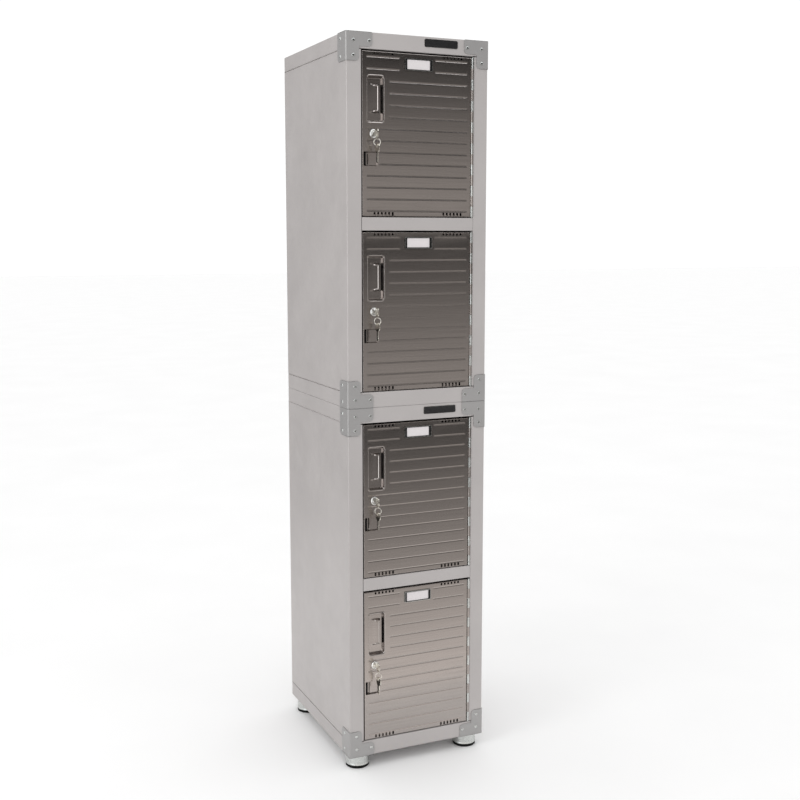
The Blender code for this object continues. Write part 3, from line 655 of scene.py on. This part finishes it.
def door_depth(x, down):
    """How far the door's outer surface lies behind its face."""
    depth = np.zeros_like(x)
    for index in range(RIB_COUNT):
        below = down - RIB_FIRST - index * RIB_PITCH
        across = smooth(1.0 - np.maximum(below / RIB_BELOW, -below / RIB_ABOVE))
        for start, end in rib_stretches(index):
            depth += RIB_DEPTH * across * smooth(np.minimum(x - start, end - x) / RIB_FADE)
    pull = box_distance(x, down, PULL, PULL_ROUND)
    depth += PULL_DEPTH * smooth(-pull / PULL_WALL)
    depth -= RIM_RISE * smooth(1.0 - np.abs(pull - RIM_HALF) / RIM_HALF)

    grown = (HOOD[0] - HOOD_RAMP, HOOD[1] + HOOD_END, HOOD[2], HOOD[3])
    inside = -box_distance(x, down, grown, HOOD_ROUND)
    rise = HOOD_RISE * smooth((x - HOOD[0]) / HOOD_RAMP)
    lip = smooth(2 - (inside - HOOD_END) / (HOOD_LIP / 2)) * smooth((x - HOOD_LIP_START) / HOOD_LIP)
    depth -= smooth(inside / HOOD_END) * (rise + HOOD_LIP_RISE * lip) * (x < HOOD[1] + GAP)

    hasp = smooth(-box_distance(x, down, HASP, HASP_ROUND) / HASP_WALL)
    step = smooth((x - HASP_STEP_AT) / HASP_STEP_WIDTH)
    return depth + hasp * (HASP_DEPTH - HASP_STEP * step)


def grid_lines(low, high, fixed, soft):
    """Places of the grid's lines: fixed ones, others that aren't too near, and a fill between."""
    lines = [low, high, *fixed]
    for mark in sorted(soft):
        if low < mark < high and min(abs(mark - line) for line in lines) > NEAREST_STEP:
            lines.append(mark)
    lines = sorted(set(lines))
    spread = lines[:1]
    for start, end in zip(lines, lines[1:]):
        parts = ceil((end - start) / WIDEST_STEP - TINY)
        spread += [start + (end - start) * part / parts for part in range(1, parts + 1)]
    return np.array(spread)


def edge_marks(low, high, outside, inside, parts):
    """Marks across both edges of a pressing, each from outside it to inside."""
    return (steps_between(low - outside, low + inside, parts)
            + steps_between(high + outside, high - inside, parts))


def pressing_marks():
    """Where the grid needs lines to follow the pressings, across and down."""
    across = edge_marks(*PULL[:2], 2 * RIM_HALF, PULL_WALL + MM, 11)
    down = edge_marks(*PULL[2:], 2 * RIM_HALF, PULL_WALL + MM, 11)
    across += steps_between(HOOD[0], HOOD_LIP_START, 6) + steps_between(HOOD_LIP_START, HOOD[1], 14)
    down += edge_marks(*HOOD[2:], 0.0, HOOD_END + HOOD_LIP, 10)
    across += edge_marks(*HASP[:2], 0.0, HASP_WALL, 4)
    down += edge_marks(*HASP[2:], 0.0, HASP_WALL, 4)
    across += steps_between(HASP_STEP_AT, HASP_STEP_AT + HASP_STEP_WIDTH, 3)
    for start in (RIB_LEFT, LABEL_GAP[1], RIB_BY_PULL, RIB_BY_HASP):
        across += steps_between(start, start + RIB_FADE, 3)
    for end in (LABEL_GAP[0], RIB_RIGHT):
        across += steps_between(end - RIB_FADE, end, 3)
    for index in range(RIB_COUNT):
        middle = RIB_FIRST + index * RIB_PITCH
        down += steps_between(middle - RIB_ABOVE, middle, 4)
        down += steps_between(middle, middle + RIB_BELOW, 3)
    return across, down


def door_holes(height):
    """Round-ended holes of the door sheet: centre across, centre down, half width, half height."""
    holes = []
    rows = ((DOOR_GAP_TOP + VENT_EDGE + VENT_TOP_HALF, VENT_TOP_HALF),
            (height - DOOR_GAP_BOTTOM - VENT_EDGE - VENT_BOTTOM_HALF, VENT_BOTTOM_HALF))
    for index in range(VENT_COUNT):
        across = VENT_FIRST + index * VENT_PITCH
        for x in (across, OPENING_WIDTH - across):
            holes += [(x, row, VENT_HALF_WIDTH, half) for row, half in rows]
    return holes


def door_sheet(height, right, lock):
    """Door sheet: a fine grid pressed to shape, pierced, folded back round its edge and thickened.

    Its own place is the opening's top left corner on the door's face."""
    holes = door_holes(height) + [(*lock, LOCK_HOLE, LOCK_HOLE)]
    slit = (HOOD[1], HOOD[1] + SLIT_WIDTH, HOOD[2] + SLIT_INSET, HOOD[3] - SLIT_INSET)
    cuts = [slit, HASP_SLOT] + [(x - w, x + w, z - h, z + h) for x, z, w, h in holes]
    fixed_x = {place for cut in cuts for place in cut[:2]} | {hole[0] for hole in holes}
    fixed_z = {place for cut in cuts for place in cut[2:]} | {hole[1] for hole in holes}
    fixed_z |= {hole[1] + sign * (hole[3] - hole[2]) for hole in holes for sign in (-1, 1)}
    soft_x, soft_z = pressing_marks()
    columns = grid_lines(DOOR_GAP_SIDE + DOOR_BEND, right - DOOR_BEND, fixed_x, soft_x)
    rows = grid_lines(DOOR_GAP_TOP + DOOR_BEND, height - DOOR_GAP_BOTTOM - DOOR_BEND, fixed_z, soft_z)
    across, down = np.meshgrid(columns, rows)
    behind = door_depth(across, down)
    for hole in holes:
        round_hole(across, down, *hole)

    bm = bmesh.new()
    verts = [bm.verts.new((x, y, -z)) for x, y, z in zip(across.flat, behind.flat, down.flat)]
    grid = np.array(verts, dtype=object).reshape(across.shape)
    for row, middle_z in enumerate((rows[:-1] + rows[1:]) / 2):
        open_here = [cut for cut in cuts if cut[2] < middle_z < cut[3]]
        for column, middle_x in enumerate((columns[:-1] + columns[1:]) / 2):
            if not any(cut[0] < middle_x < cut[1] for cut in open_here):
                bm.faces.new((grid[row, column], grid[row + 1, column],
                              grid[row + 1, column + 1], grid[row, column + 1]))
    fold_back(bm, grid)
    return thickened(trimmed(bm), SHEET)


def round_hole(across, down, x, z, half_width, half_height):
    """Move a hole's corner points so that its ends are round."""
    u = (across - x) / half_width
    v = (np.abs(down - z) - (half_height - half_width)) / half_width
    rim = (np.abs(np.maximum(np.abs(u), v) - 1.0) < TINY) & (v >= 0)
    stretch = np.hypot(u[rim], v[rim])
    side = np.sign(down[rim] - z)
    across[rim] = x + u[rim] / stretch * half_width
    down[rim] = z + side * (half_height - half_width + v[rim] / stretch * half_width)


def fold_back(bm, grid):
    """Turn the sheet's edge back: a bend, the tray's side and an inner lip."""
    loop = list(grid[0, :-1]) + list(grid[:-1, -1]) + list(grid[-1, :0:-1]) + list(grid[:0:-1, 0])
    left, right, top, bottom = (set(side) for side in (grid[:, 0], grid[:, -1], grid[0, :], grid[-1, :]))
    outward = [Vector(((v in right) - (v in left), 0.0, (v in top) - (v in bottom))) for v in loop]
    profile = [(DOOR_BEND * sin(a), DOOR_BEND * (1 - cos(a)))
               for a in map(radians, (30, 60, 90))]
    halfway = 0.7 * DOOR_BEND        # where a bend is half turned
    profile += [(DOOR_BEND, DOOR_TRAY - DOOR_BEND), (halfway, DOOR_TRAY - DOOR_BEND + halfway)]
    profile += [(0.0, DOOR_TRAY), (DOOR_BEND - DOOR_LIP, DOOR_TRAY)]
    before = loop
    for out, back in profile:
        places = [v.co + way * out + Vector((0.0, back - v.co.y, 0.0)) for v, way in zip(loop, outward)]
        ring = [bm.verts.new(place) for place in places]
        band(bm, before, ring)
        before = ring


# ---- Hinges ----
def door_info(number):
    """Places of one door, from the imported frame. Each door's body has the door's name."""
    low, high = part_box(f"door_{number}")
    hinge = Vector(JOINTS[f"door_{number}_hinge"]["pos_m"])
    lock = Vector(JOINTS[f"lock_{number}_turn"]["pos_m"])
    left = low.x - DOOR_GAP_SIDE
    top = high.z + DOOR_GAP_TOP
    return SimpleNamespace(
        name=f"door_{number}", lock_body=f"lock_{number}", hinge=hinge, lock=lock,
        corner=Vector((left, lock.y, top)), height=top - low.z + DOOR_GAP_BOTTOM,
        right=hinge.x - KNUCKLE_RADIUS - LEAF_CLEAR - left, low=low.z, length=high.z - low.z)


def knuckles(door, first, sign, web, tail):
    """Every second rolled knuckle about the pin, its web on the right (sign 1) or left (sign -1)."""
    rim = arc(KNUCKLE_RADIUS, KNUCKLE_START, KNUCKLE_END, 24)
    outline = rim + [(web, rim[-1][1]), (web, tail), (rim[0][0], tail)]
    section = [[(sign * x, y) for x, y in loop] for loop in (outline, circle(KNUCKLE_BORE, 20))]
    pitch = door.length / KNUCKLE_COUNT
    return joined(moved(plate(section, pitch - GAP), UP * (door.length - (index + 0.5) * pitch))
                  for index in range(first, KNUCKLE_COUNT, 2))


def rolled_edge(door):
    """The door's own knuckles, rolled from its edge."""
    return knuckles(door, 1, -1, KNUCKLE_RADIUS + LEAF_CLEAR, KNUCKLE_RADIUS + 2 * KNUCKLE_WALL)


def frame_leaf(door):
    """The hinge leaf on the frame: a strip with its rolled knuckles."""
    strip = block((KNUCKLE_RADIUS - KNUCKLE_WALL, KNUCKLE_RADIUS + LEAF_CLEAR, GAP),
                  (KNUCKLE_RADIUS, LEAF_DEPTH, door.length - GAP))
    rolled = knuckles(door, 0, 1, KNUCKLE_RADIUS - LEAF_OVERLAP, KNUCKLE_RADIUS + 4 * LEAF_CLEAR)
    return combined(strip, rolled, "UNION")


def hinge_pin(door):
    """Hinge pin with a formed head at both ends."""
    head = [(PIN_HEAD * out, PIN_HEAD_HEIGHT * up) for out, up in PIN_DOME] + [(PIN_RADIUS, 0.0)]
    top = [(radius, door.length + 2 * GAP + height) for radius, height in head]
    foot = [(radius, -height - 2 * GAP) for radius, height in reversed(head)]
    return lathe(top + foot, 24)


# ---- Locks and keys ----
def lock_housing():
    """Chrome bezel with a step in its face, and a threaded barrel behind it."""
    profile = [(radius * MM, BEZEL_PROUD - back * MM) for radius, back in BEZEL_FACE]
    profile += [(BEZEL_RADIUS, GAP), (BARREL_RADIUS, GAP)]
    profile += thread(BARREL_RADIUS, -THREAD_START, -BARREL_END)
    profile += [(BARREL_RADIUS - THREAD_DEPTH, -BARREL_END), (BORE_RADIUS, -BARREL_END)]
    return lathe(profile + profile[:1], 48, FACING)


def lock_plug():
    """Turning plug with its keyway and the tang that carries the cam."""
    end = BARREL_END + GAP
    tang_end = BARREL_END + 2 * GAP + CAM_SHEET
    profile = [(radius * MM, PLUG_PROUD - back * MM) for radius, back in PLUG_FACE]
    profile += [(PLUG_RADIUS, -end), (TANG_RADIUS, -end), (TANG_RADIUS, -tang_end), (0.0, -tang_end)]
    half, tall = KEY_SHEET / 2 + GAP, KEY_HALF + GAP
    keyway = block((-half, -2 * PLUG_PROUD, -tall), (half, KEY_TIP + GAP, tall))
    return combined(lathe(profile, 36, FACING), keyway, "DIFFERENCE")


def cam():
    """Flat lock cam that hangs down from its tang."""
    outline = arc(CAM_HEAD, 0, 180, 20) + arc(CAM_TAIL, 180, 360, 16, (0.0, -CAM_REACH))
    middle = BARREL_END + 2 * GAP + CAM_SHEET / 2
    return soften(plate([outline, circle(TANG_HOLE, 20)], CAM_SHEET, facing_at(middle)), EDGE)


def cam_screw():
    """Screw and washer that hold the cam, behind it."""
    back = BARREL_END + 2 * GAP + CAM_SHEET
    return lathe([(radius * MM, -back - deep * MM) for radius, deep in SCREW_OUTLINE], 24, FACING)


def lock_nut():
    """Six-sided nut and washer that clamp the lock to the door sheet."""
    hole = circle(BARREL_RADIUS + GAP, 32)
    washer = plate([circle(WASHER_RADIUS, 40), hole], WASHER_THICK, facing_at(SHEET + WASHER_MIDDLE))
    nut = plate([circle(NUT_RADIUS, 6), hole], NUT_THICK, facing_at(SHEET + NUT_MIDDLE))
    return joined([soften(washer, 0.2 * MM), soften(nut, 0.4 * MM)])


def key_outline():
    """Key with a bitted blade and a round bow; +X is out of the lock."""
    meet = degrees(asin(KEY_HALF / BOW_RADIUS))
    outline = [(-KEY_TIP, 0.0), (-KEY_TIP + KEY_HALF / 2, -KEY_HALF)]
    outline += arc(BOW_RADIUS, meet - 180, 180 - meet, 40, (BOW_CENTRE, 0.0))
    for index, cut in enumerate(KEY_CUTS):
        place = -CUT_FIRST - index * CUT_PITCH
        outline += [(place, KEY_HALF), (place - CUT_SLOPE, KEY_HALF - cut),
                    (place - CUT_FLOOR, KEY_HALF - cut), (place - CUT_END, KEY_HALF)]
    outline.append((-KEY_TIP + KEY_HALF / 2, KEY_HALF))
    return [outline, circle(BOW_HOLE, 24, (BOW_HOLE_AT, 0.0))]


def key_plate():
    """A key lying in its own XY plane, with softened edges."""
    return soften(plate(key_outline(), KEY_SHEET), EDGE)


def main_key():
    """The key in the lock, its bow out in front and its cuts down."""
    return turned(key_plate(), Matrix(((0.0, 0.0, 1.0), (-1.0, 0.0, 0.0), (0.0, -1.0, 0.0))).to_4x4())


def loop_points(half_width, height, heading):
    """Closed loop of points hanging down from the origin: straight sides, round ends, turned about Z."""
    straight = height - 2 * half_width
    flat = arc(half_width, 0, 180, 12, (0.0, -half_width))
    flat += arc(half_width, 180, 360, 12, (0.0, -half_width - straight))
    turn = Matrix.Rotation(radians(heading), 4, "Z")
    return [turn @ Vector((x, 0.0, z)) for x, z in flat]


def ring_and_spare(door):
    """Small link and ring that hang from the key in the lock, and the spare key on the ring."""
    link_top = door.lock + Vector((0.0, -BOW_HOLE_AT, -BOW_HOLE + LINK_WIRE))
    points = [link_top + point for point in loop_points(LINK_HALF_WIDTH, LINK_HEIGHT, LINK_HEADING)]
    piece(f"{door.name}_key_link", wire(points, LINK_WIRE), "key_nickel", door.name)

    ring_top = link_top + UP * (-LINK_HEIGHT + LINK_WIRE + RING_WIRE)
    points = [ring_top + point for point in loop_points(RING_RADIUS, 2 * RING_RADIUS, RING_HEADING)]
    piece(f"{door.name}_key_ring", wire(points, RING_WIRE), "key_nickel", door.name)

    hole = ring_top + UP * (-2 * RING_RADIUS - BOW_HOLE + RING_WIRE)
    hang = Matrix.Rotation(radians(SPARE_HEADING), 4, "Z") @ FACING
    upright = hang @ Matrix.Rotation(pi / 2, 4, "Z") @ Matrix.Translation((-BOW_HOLE_AT, 0.0, 0.0))
    spare = turned(key_plate(), Matrix.Translation(hole) @ upright)
    piece(f"{door.name}_spare_key", spare, "key_nickel", door.name)


# ---- Labels and whole doors ----
def label_holder():
    """Label frame raised from the door, with a foot along each side."""
    width, height = LABEL_SIZE
    window = rounded_box(CARD_SIZE[0] - WINDOW_LAP, CARD_SIZE[1] - WINDOW_LAP, WINDOW_ROUND)
    rim = plate([rounded_box(width, height, LABEL_ROUND), window], LABEL_SHEET)
    whole = moved(soften(rim, 0.22 * MM), UP * (LABEL_RISE + LABEL_SHEET / 2))
    for sign in (-1, 1):
        outline = rounded_box(LABEL_FOOT, height - LABEL_FOOT_SHORT, LABEL_FOOT_ROUND)
        place = (sign * (width / 2 - LABEL_FOOT_INSET), 0.0, LABEL_RISE / 2)
        whole = combined(whole, moved(plate([outline], LABEL_RISE + 0.4 * MM), place), "UNION")
    return turned(whole, FACING)


def label_bead():
    """Bright half-round bead round the label frame."""
    width, height = LABEL_SIZE
    inner = rounded_box(width - 2 * LABEL_BEAD, height - 2 * LABEL_BEAD, WINDOW_ROUND)
    bead = soften(plate([rounded_box(width, height, LABEL_ROUND), inner], LABEL_BEAD), EDGE)
    return turned(bead, facing_at(-LABEL_RISE - LABEL_SHEET - LABEL_BEAD / 2))


def label_card():
    """Card behind the label frame, slightly bowed."""
    width, height = CARD_SIZE
    bm = bmesh.new()
    bmesh.ops.create_grid(bm, x_segments=16, y_segments=6, size=0.5)
    for vert in bm.verts:
        bow = CARD_BOW * (1 - (2 * vert.co.x) ** 2)
        vert.co = Vector((vert.co.x * width, vert.co.y * height, CARD_RISE + bow))
    return thickened(turned(bm, FACING), CARD_THICK)


def dress_door(number):
    """Every visible piece of one door."""
    door = door_info(number)
    name = door.name

    def add(kind, build, finish, body, place, *stands_for):
        """Add one piece of a kind that every door has."""
        repeated(kind, f"{name}_{kind}", build, finish, body, place, stands_for)

    lock_place = (door.lock.x - door.corner.x, door.corner.z - door.lock.z)
    foot = (door.hinge.x, door.hinge.y, door.low)
    label = door.corner + Vector((OPENING_WIDTH / 2, 0.0, -LABEL_CENTRE_DOWN))
    add("panel", lambda: door_sheet(door.height, door.right, lock_place), "door_paint",
        name, door.corner, name)
    add("rolled_edge", lambda: rolled_edge(door), "door_paint", name, foot)
    add("leaf", lambda: frame_leaf(door), "bright_zinc", BODY, foot, f"{name}_hinge_leaf")
    add("pin", lambda: hinge_pin(door), "bright_zinc", BODY, foot, f"{name}_hinge_pin")
    add("housing", lock_housing, "lock_chrome", name, door.lock, f"{name}_lock_body")
    add("lock_nut", lock_nut, "bright_zinc", name, door.lock)
    add("plug", lock_plug, "lock_chrome", door.lock_body, door.lock, f"{name}_lock_plug")
    add("cam_plate", cam, "bright_zinc", door.lock_body, door.lock, f"{name}_cam")
    add("cam_screw", cam_screw, "bright_zinc", door.lock_body, door.lock)
    add("label_holder", label_holder, "black_steel", name, label)
    add("label_bead", label_bead, "bright_zinc", name, label)
    add("label_card", label_card, "label_card", name, label)
    add("main_key", main_key, "key_nickel", door.lock_body, door.lock, f"{name}_key")
    # The staple is near-black so that the hasp's slot looks dark: painted shade where the slot is only in
    # shadow.
    refined(f"{name}_staple", "black_steel", EDGE, STAPLE_SHEET)
    ring_and_spare(door)


# ---- Body ----
def rivet(place, facing):
    """Domed blind rivet on a face, with the dimple that its broken stem leaves."""
    profile = [(0.0, RIVET_RISE - DIMPLE_DEPTH), (DIMPLE_RADIUS, RIVET_RISE - DIMPLE_DEPTH)]
    profile += [(DIMPLE_RADIUS + (RIVET_RADIUS - DIMPLE_RADIUS) * sin(radians(a)),
                 RIVET_RISE * cos(radians(a))) for a in RIVET_TURNS]
    profile += [(RIVET_RADIUS, -GAP), (0.0, -GAP)]
    turn = UP.rotation_difference(Vector(facing)).to_matrix().to_4x4()
    return lathe(profile, 20, Matrix.Translation(place) @ turn)


def bracket_rivets(unit, row, side):
    """The five rivets of one corner bracket."""
    node = f"{unit}_bracket_{row}_{side}"
    low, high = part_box(node)
    across = 1 if side == "left" else -1
    corner_x = low.x if side == "left" else high.x
    corner_z = high.z if row == "top" else low.z
    down = -1 if row == "top" else 1
    heads = [rivet((corner_x + across * x, low.y, corner_z + down * z), (0.0, -1.0, 0.0))
             for x, z in FRONT_RIVETS]
    heads += [rivet((corner_x, low.y + y, corner_z + down * z), (-across, 0.0, 0.0))
              for y, z in SIDE_RIVETS]
    piece(f"{node}_rivets", joined(heads), "bright_zinc", BODY)


def back_rivets(unit):
    """Two columns of rivets that hold the back panel to the returns of the sides."""
    low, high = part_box(f"{unit}_back_panel")
    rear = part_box(f"{unit}_left_side")[1].y
    heads = []
    for x in (low.x + BACK_RIVET_INSET, high.x - BACK_RIVET_INSET):
        for z in steps_between(low.z + BACK_RIVET_END, high.z - BACK_RIVET_END, BACK_RIVETS - 1):
            heads.append(rivet((x, rear, z), (0.0, 1.0, 0.0)))
    piece(f"{unit}_back_rivets", joined(heads), "body_paint", BODY)


def badge(unit):
    """Blank badge plate on the unit's top rail, in a thin bright frame."""
    low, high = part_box(f"{unit}_top_cap")
    place = Vector((BADGE_RIGHT, low.y - BADGE_THICK / 2, high.z - BADGE_DOWN))
    face = soften(plate([rounded_box(*BADGE_SIZE, BADGE_ROUND)], BADGE_THICK), 0.4 * MM)
    piece(f"{unit}_badge", turned(face, FACING), "badge_plate", BODY, place)
    outlines = [rounded_box(BADGE_SIZE[0] + 2 * out, BADGE_SIZE[1] + 2 * out, radius)
                for out, radius in ((BADGE_RIM, BADGE_ROUND + 0.6 * MM), (BADGE_RIM_GAP, BADGE_ROUND))]
    rim = plate(outlines, BADGE_THICK, FACING)
    piece(f"{unit}_badge_rim", rim, "lock_chrome", BODY, place - Vector((0.0, BADGE_RIM_PROUD, 0.0)))


def hex_bolt(head_up, shank):
    """Six-sided head and washer on a round shank that runs down from the head."""
    rim = BOLT_HEAD + 1.5 * BOLT_WASHER
    washer = [(0.0, BOLT_WASHER), (rim, BOLT_WASHER), (rim, 0.0), (0.0, 0.0)]
    head = [(0.0, BOLT_HEIGHT), (BOLT_HEAD - BOLT_BEVEL, BOLT_HEIGHT),
            (BOLT_HEAD, BOLT_HEIGHT - 0.75 * BOLT_BEVEL), (BOLT_HEAD, 0.0), (0.0, 0.0)]
    stem = [(0.0, 0.0), (BOLT_SHANK, 0.0), (BOLT_SHANK, -shank), (0.0, -shank)]
    whole = joined([lathe(washer, 24), moved(lathe(head, 6), UP * BOLT_WASHER), lathe(stem, 20)])
    return whole if head_up else turned(whole, Matrix.Rotation(pi, 4, "X"))


def stacking_bolts():
    """Four bolts that hold the upper unit's pan to the lower unit's cap, with their nuts."""
    low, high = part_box("upper_bottom_pan")
    parts = []
    for x in (low.x + BOLT_INSET, high.x - BOLT_INSET):
        for y in (low.y + BOLT_INSET + BOLT_SET_BACK, high.y - BOLT_INSET):
            parts.append(moved(hex_bolt(True, SHANK_ABOVE), (x, y, low.z + SHEET)))
            parts.append(moved(hex_bolt(False, SHANK_BELOW), (x, y, low.z - SHEET)))
    piece("stacking_bolts", joined(parts), "bright_zinc", BODY, sharp=25.0)


def dress_unit(unit):
    """Sheets, brackets, rivets and badge of one two-door unit."""
    for part in ("left_side", "right_side", "top_cap", "bottom_pan", "back_panel", "shelf"):
        refined(f"{unit}_{part}", "body_paint", SHEET_EDGE)
    for row in ("top", "bottom"):
        for side in ("left", "right"):
            refined(f"{unit}_bracket_{row}_{side}", "bracket_paint", BRACKET_EDGE)
            bracket_rivets(unit, row, side)
    back_rivets(unit)
    badge(unit)


# ---- Feet ----
def foot_cup(deck):
    """Zinc cup with a rolled shoulder and a slight flare, on a threaded stem."""
    low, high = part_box("foot_front_left")
    radius = (high.x - low.x) / 2
    top, shoulder, base = deck + STEM_ABOVE, deck - 2 * GAP, PAD_HEIGHT + GAP
    profile = [(0.0, top), (STEM_RADIUS - STEM_BEVEL, top)]
    profile += thread(STEM_RADIUS, top - STEM_BEVEL, shoulder + 2 * MM)
    profile.append((STEM_RADIUS - THREAD_DEPTH, shoulder))
    round_centre = radius - CUP_SHOULDER - CUP_ROUND
    profile += [(round_centre + CUP_ROUND * sin(a), shoulder - CUP_ROUND + CUP_ROUND * cos(a))
                for a in map(radians, CUP_TURNS)]
    profile += [(radius - inward * MM, base + up * MM) for inward, up in CUP_FLARE]
    return lathe(profile + [(0.0, base)], 56)


def foot_pad():
    """Rubber pad with rounded edges and a groove round it."""
    profile = [(0.0, PAD_HEIGHT)]
    profile += [(PAD_RADIUS - inward * MM, PAD_HEIGHT - down * MM) for inward, down in PAD_EDGE]
    profile += [(PAD_RADIUS, PAD_BEVEL), (PAD_RADIUS - PAD_BEVEL, 0.0), (0.0, 0.0)]
    return lathe(profile, 56)


def foot_nut():
    """Nut on the foot's stem, on the pan's deck."""
    outlines = [circle(FOOT_NUT_RADIUS, 6), circle(STEM_RADIUS + GAP, 24)]
    return soften(plate(outlines, FOOT_NUT_THICK), 0.5 * MM)


def dress_feet():
    """Cups, pads and nuts of the four levelling feet."""
    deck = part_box("lower_bottom_pan")[0].z
    for corner in ("front_left", "front_right", "rear_left", "rear_right"):
        node = f"foot_{corner}"
        low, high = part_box(node)
        place = ((low.x + high.x) / 2, (low.y + high.y) / 2, 0.0)
        nut_place = (*place[:2], deck + SHEET + FOOT_NUT_THICK / 2 + GAP)
        body = BODY_OF[node]
        repeated("cup", f"cup_{corner}", lambda: foot_cup(deck), "bright_zinc", body, place, [node])
        repeated("pad", f"pad_{corner}", foot_pad, "foot_rubber", body, place, [f"foot_pad_{corner}"])
        repeated("foot_nut", f"foot_nut_{corner}", foot_nut, "bright_zinc", BODY, nut_place)


# ---- Stage, lights and camera ----
def stage_plane(name, size, matrix, material):
    """A flat stage piece."""
    bm = bmesh.new()
    bmesh.ops.create_grid(bm, x_segments=1, y_segments=1, size=0.5)
    made = linked(name, mesh_of(turned(bm, matrix @ Matrix.Diagonal((*size, 1.0, 1.0))), name))
    made.data.materials.append(material)
    return made


def aimed(place, target, forward):
    """The rotation that points a local axis from a place to a target."""
    return (Vector(target) - Vector(place)).to_track_quat(forward, "Y")


def flag(name, size, place, target, strength):
    """Studio card that faces a target and that only reflections see. Its finish comes back."""
    finish = Shader(name, 0.0, specular=0.0)
    filled(finish.shader, {
        "Base Color": (0.0, 0.0, 0.0, 1.0), "Emission Color": CARD_TINT, "Emission Strength": strength})
    matrix = Matrix.Translation(place) @ aimed(place, target, "Z").to_matrix().to_4x4()
    card = stage_plane(name, size, matrix, finish.material)
    card.visible_camera = card.visible_diffuse = card.visible_shadow = False
    return finish


def mirrored_height(place):
    """Height on the door card at which the camera sees a door point's mirror image."""
    return place.z + (place.z - CAMERA_PLACE.z) * (place.y - FLAG_Y) / (place.y - CAMERA_PLACE.y)


def flag_steps():
    """Heights on the door card between the mirror images of the doors, lowest first."""
    doors = [door_info(number) for number in range(4, 0, -1)]
    tops = [mirrored_height(door.corner) for door in doors]
    feet = [mirrored_height(door.corner - UP * door.height) for door in doors]
    between = [(top + foot) / 2 for top, foot in zip(tops, feet[1:])]
    return between + [tops[-1] + FLAG_MARGIN]


def door_flag():
    """Card before the doors: dark at each door's top and paler towards its foot."""
    middle = (FLAG_LEFT + FLAG_RIGHT) / 2
    finish = flag("door_flag", (FLAG_RIGHT - FLAG_LEFT, FLAG_TOP), (middle, FLAG_Y, FLAG_TOP / 2),
                  (middle, 0.0, FLAG_TOP / 2), 1.0)
    split = finish.node("SeparateXYZ", {})
    height = finish.node("Math", {1: FLAG_TOP})
    height.operation = "DIVIDE"
    finish.link(finish.place, split.inputs["Vector"])
    finish.link(split.outputs["Z"], height.inputs[0])
    glows = [(0.0, FLAG_FLOOR)]
    steps = flag_steps()
    for low, high in zip(steps, steps[1:]):
        glows += [(low, FLAG_PALE), (high - FLAG_BLEND, FLAG_DARK)]
    glows.append((FLAG_TOP, FLAG_DARK))
    stops = [(level / FLAG_TOP, shade(FLAG_TINT, glow)) for level, glow in glows]
    finish.ramp(height.outputs["Value"], stops, "Emission Color")


def make_stage():
    """Pale floor, and the cards that only reflections see."""
    stage_plane("floor", FLOOR_SIZE, Matrix.Translation((0.0, 0.0, -FLOOR_DOWN)), floor_finish())
    door_flag()
    for name, card in CARDS.items():
        flag(name, *card)


def make_lights():
    """Even white surroundings and one soft light from the left of the front."""
    world = SCENE.world = bpy.data.worlds.new("studio")
    world.use_nodes = True
    filled(world.node_tree.nodes["Background"], {"Color": (1.0, 1.0, 1.0, 1.0), "Strength": SKY_STRENGTH})
    strip = bpy.data.lights.new("left_strip", "AREA")
    strip.size = STRIP_SIZE
    strip.energy = STRIP_POWER
    light = linked("left_strip", strip)
    light.location = STRIP_PLACE
    light.rotation_euler = aimed(STRIP_PLACE, STRIP_TARGET, "-Z").to_euler()
    SCENE.view_settings.view_transform = "Standard"


def make_camera():
    """Camera at eye height, left of the front, looking a little down."""
    data = bpy.data.cameras.new("camera")
    data.sensor_width = 36.0
    data.lens = CAMERA_LENS
    data.shift_y = CAMERA_SHIFT
    camera = SCENE.camera = linked("camera", data)
    camera.location = CAMERA_PLACE
    camera.rotation_euler = (radians(90 - CAMERA_DOWN), 0.0, radians(CAMERA_TURN))


def main():
    """Dress the whole cabinet and set the scene."""
    for unit in ("upper", "lower"):
        dress_unit(unit)
    stacking_bolts()
    for number in range(1, 5):
        dress_door(number)
    dress_feet()
    make_stage()
    make_lights()
    make_camera()


main()
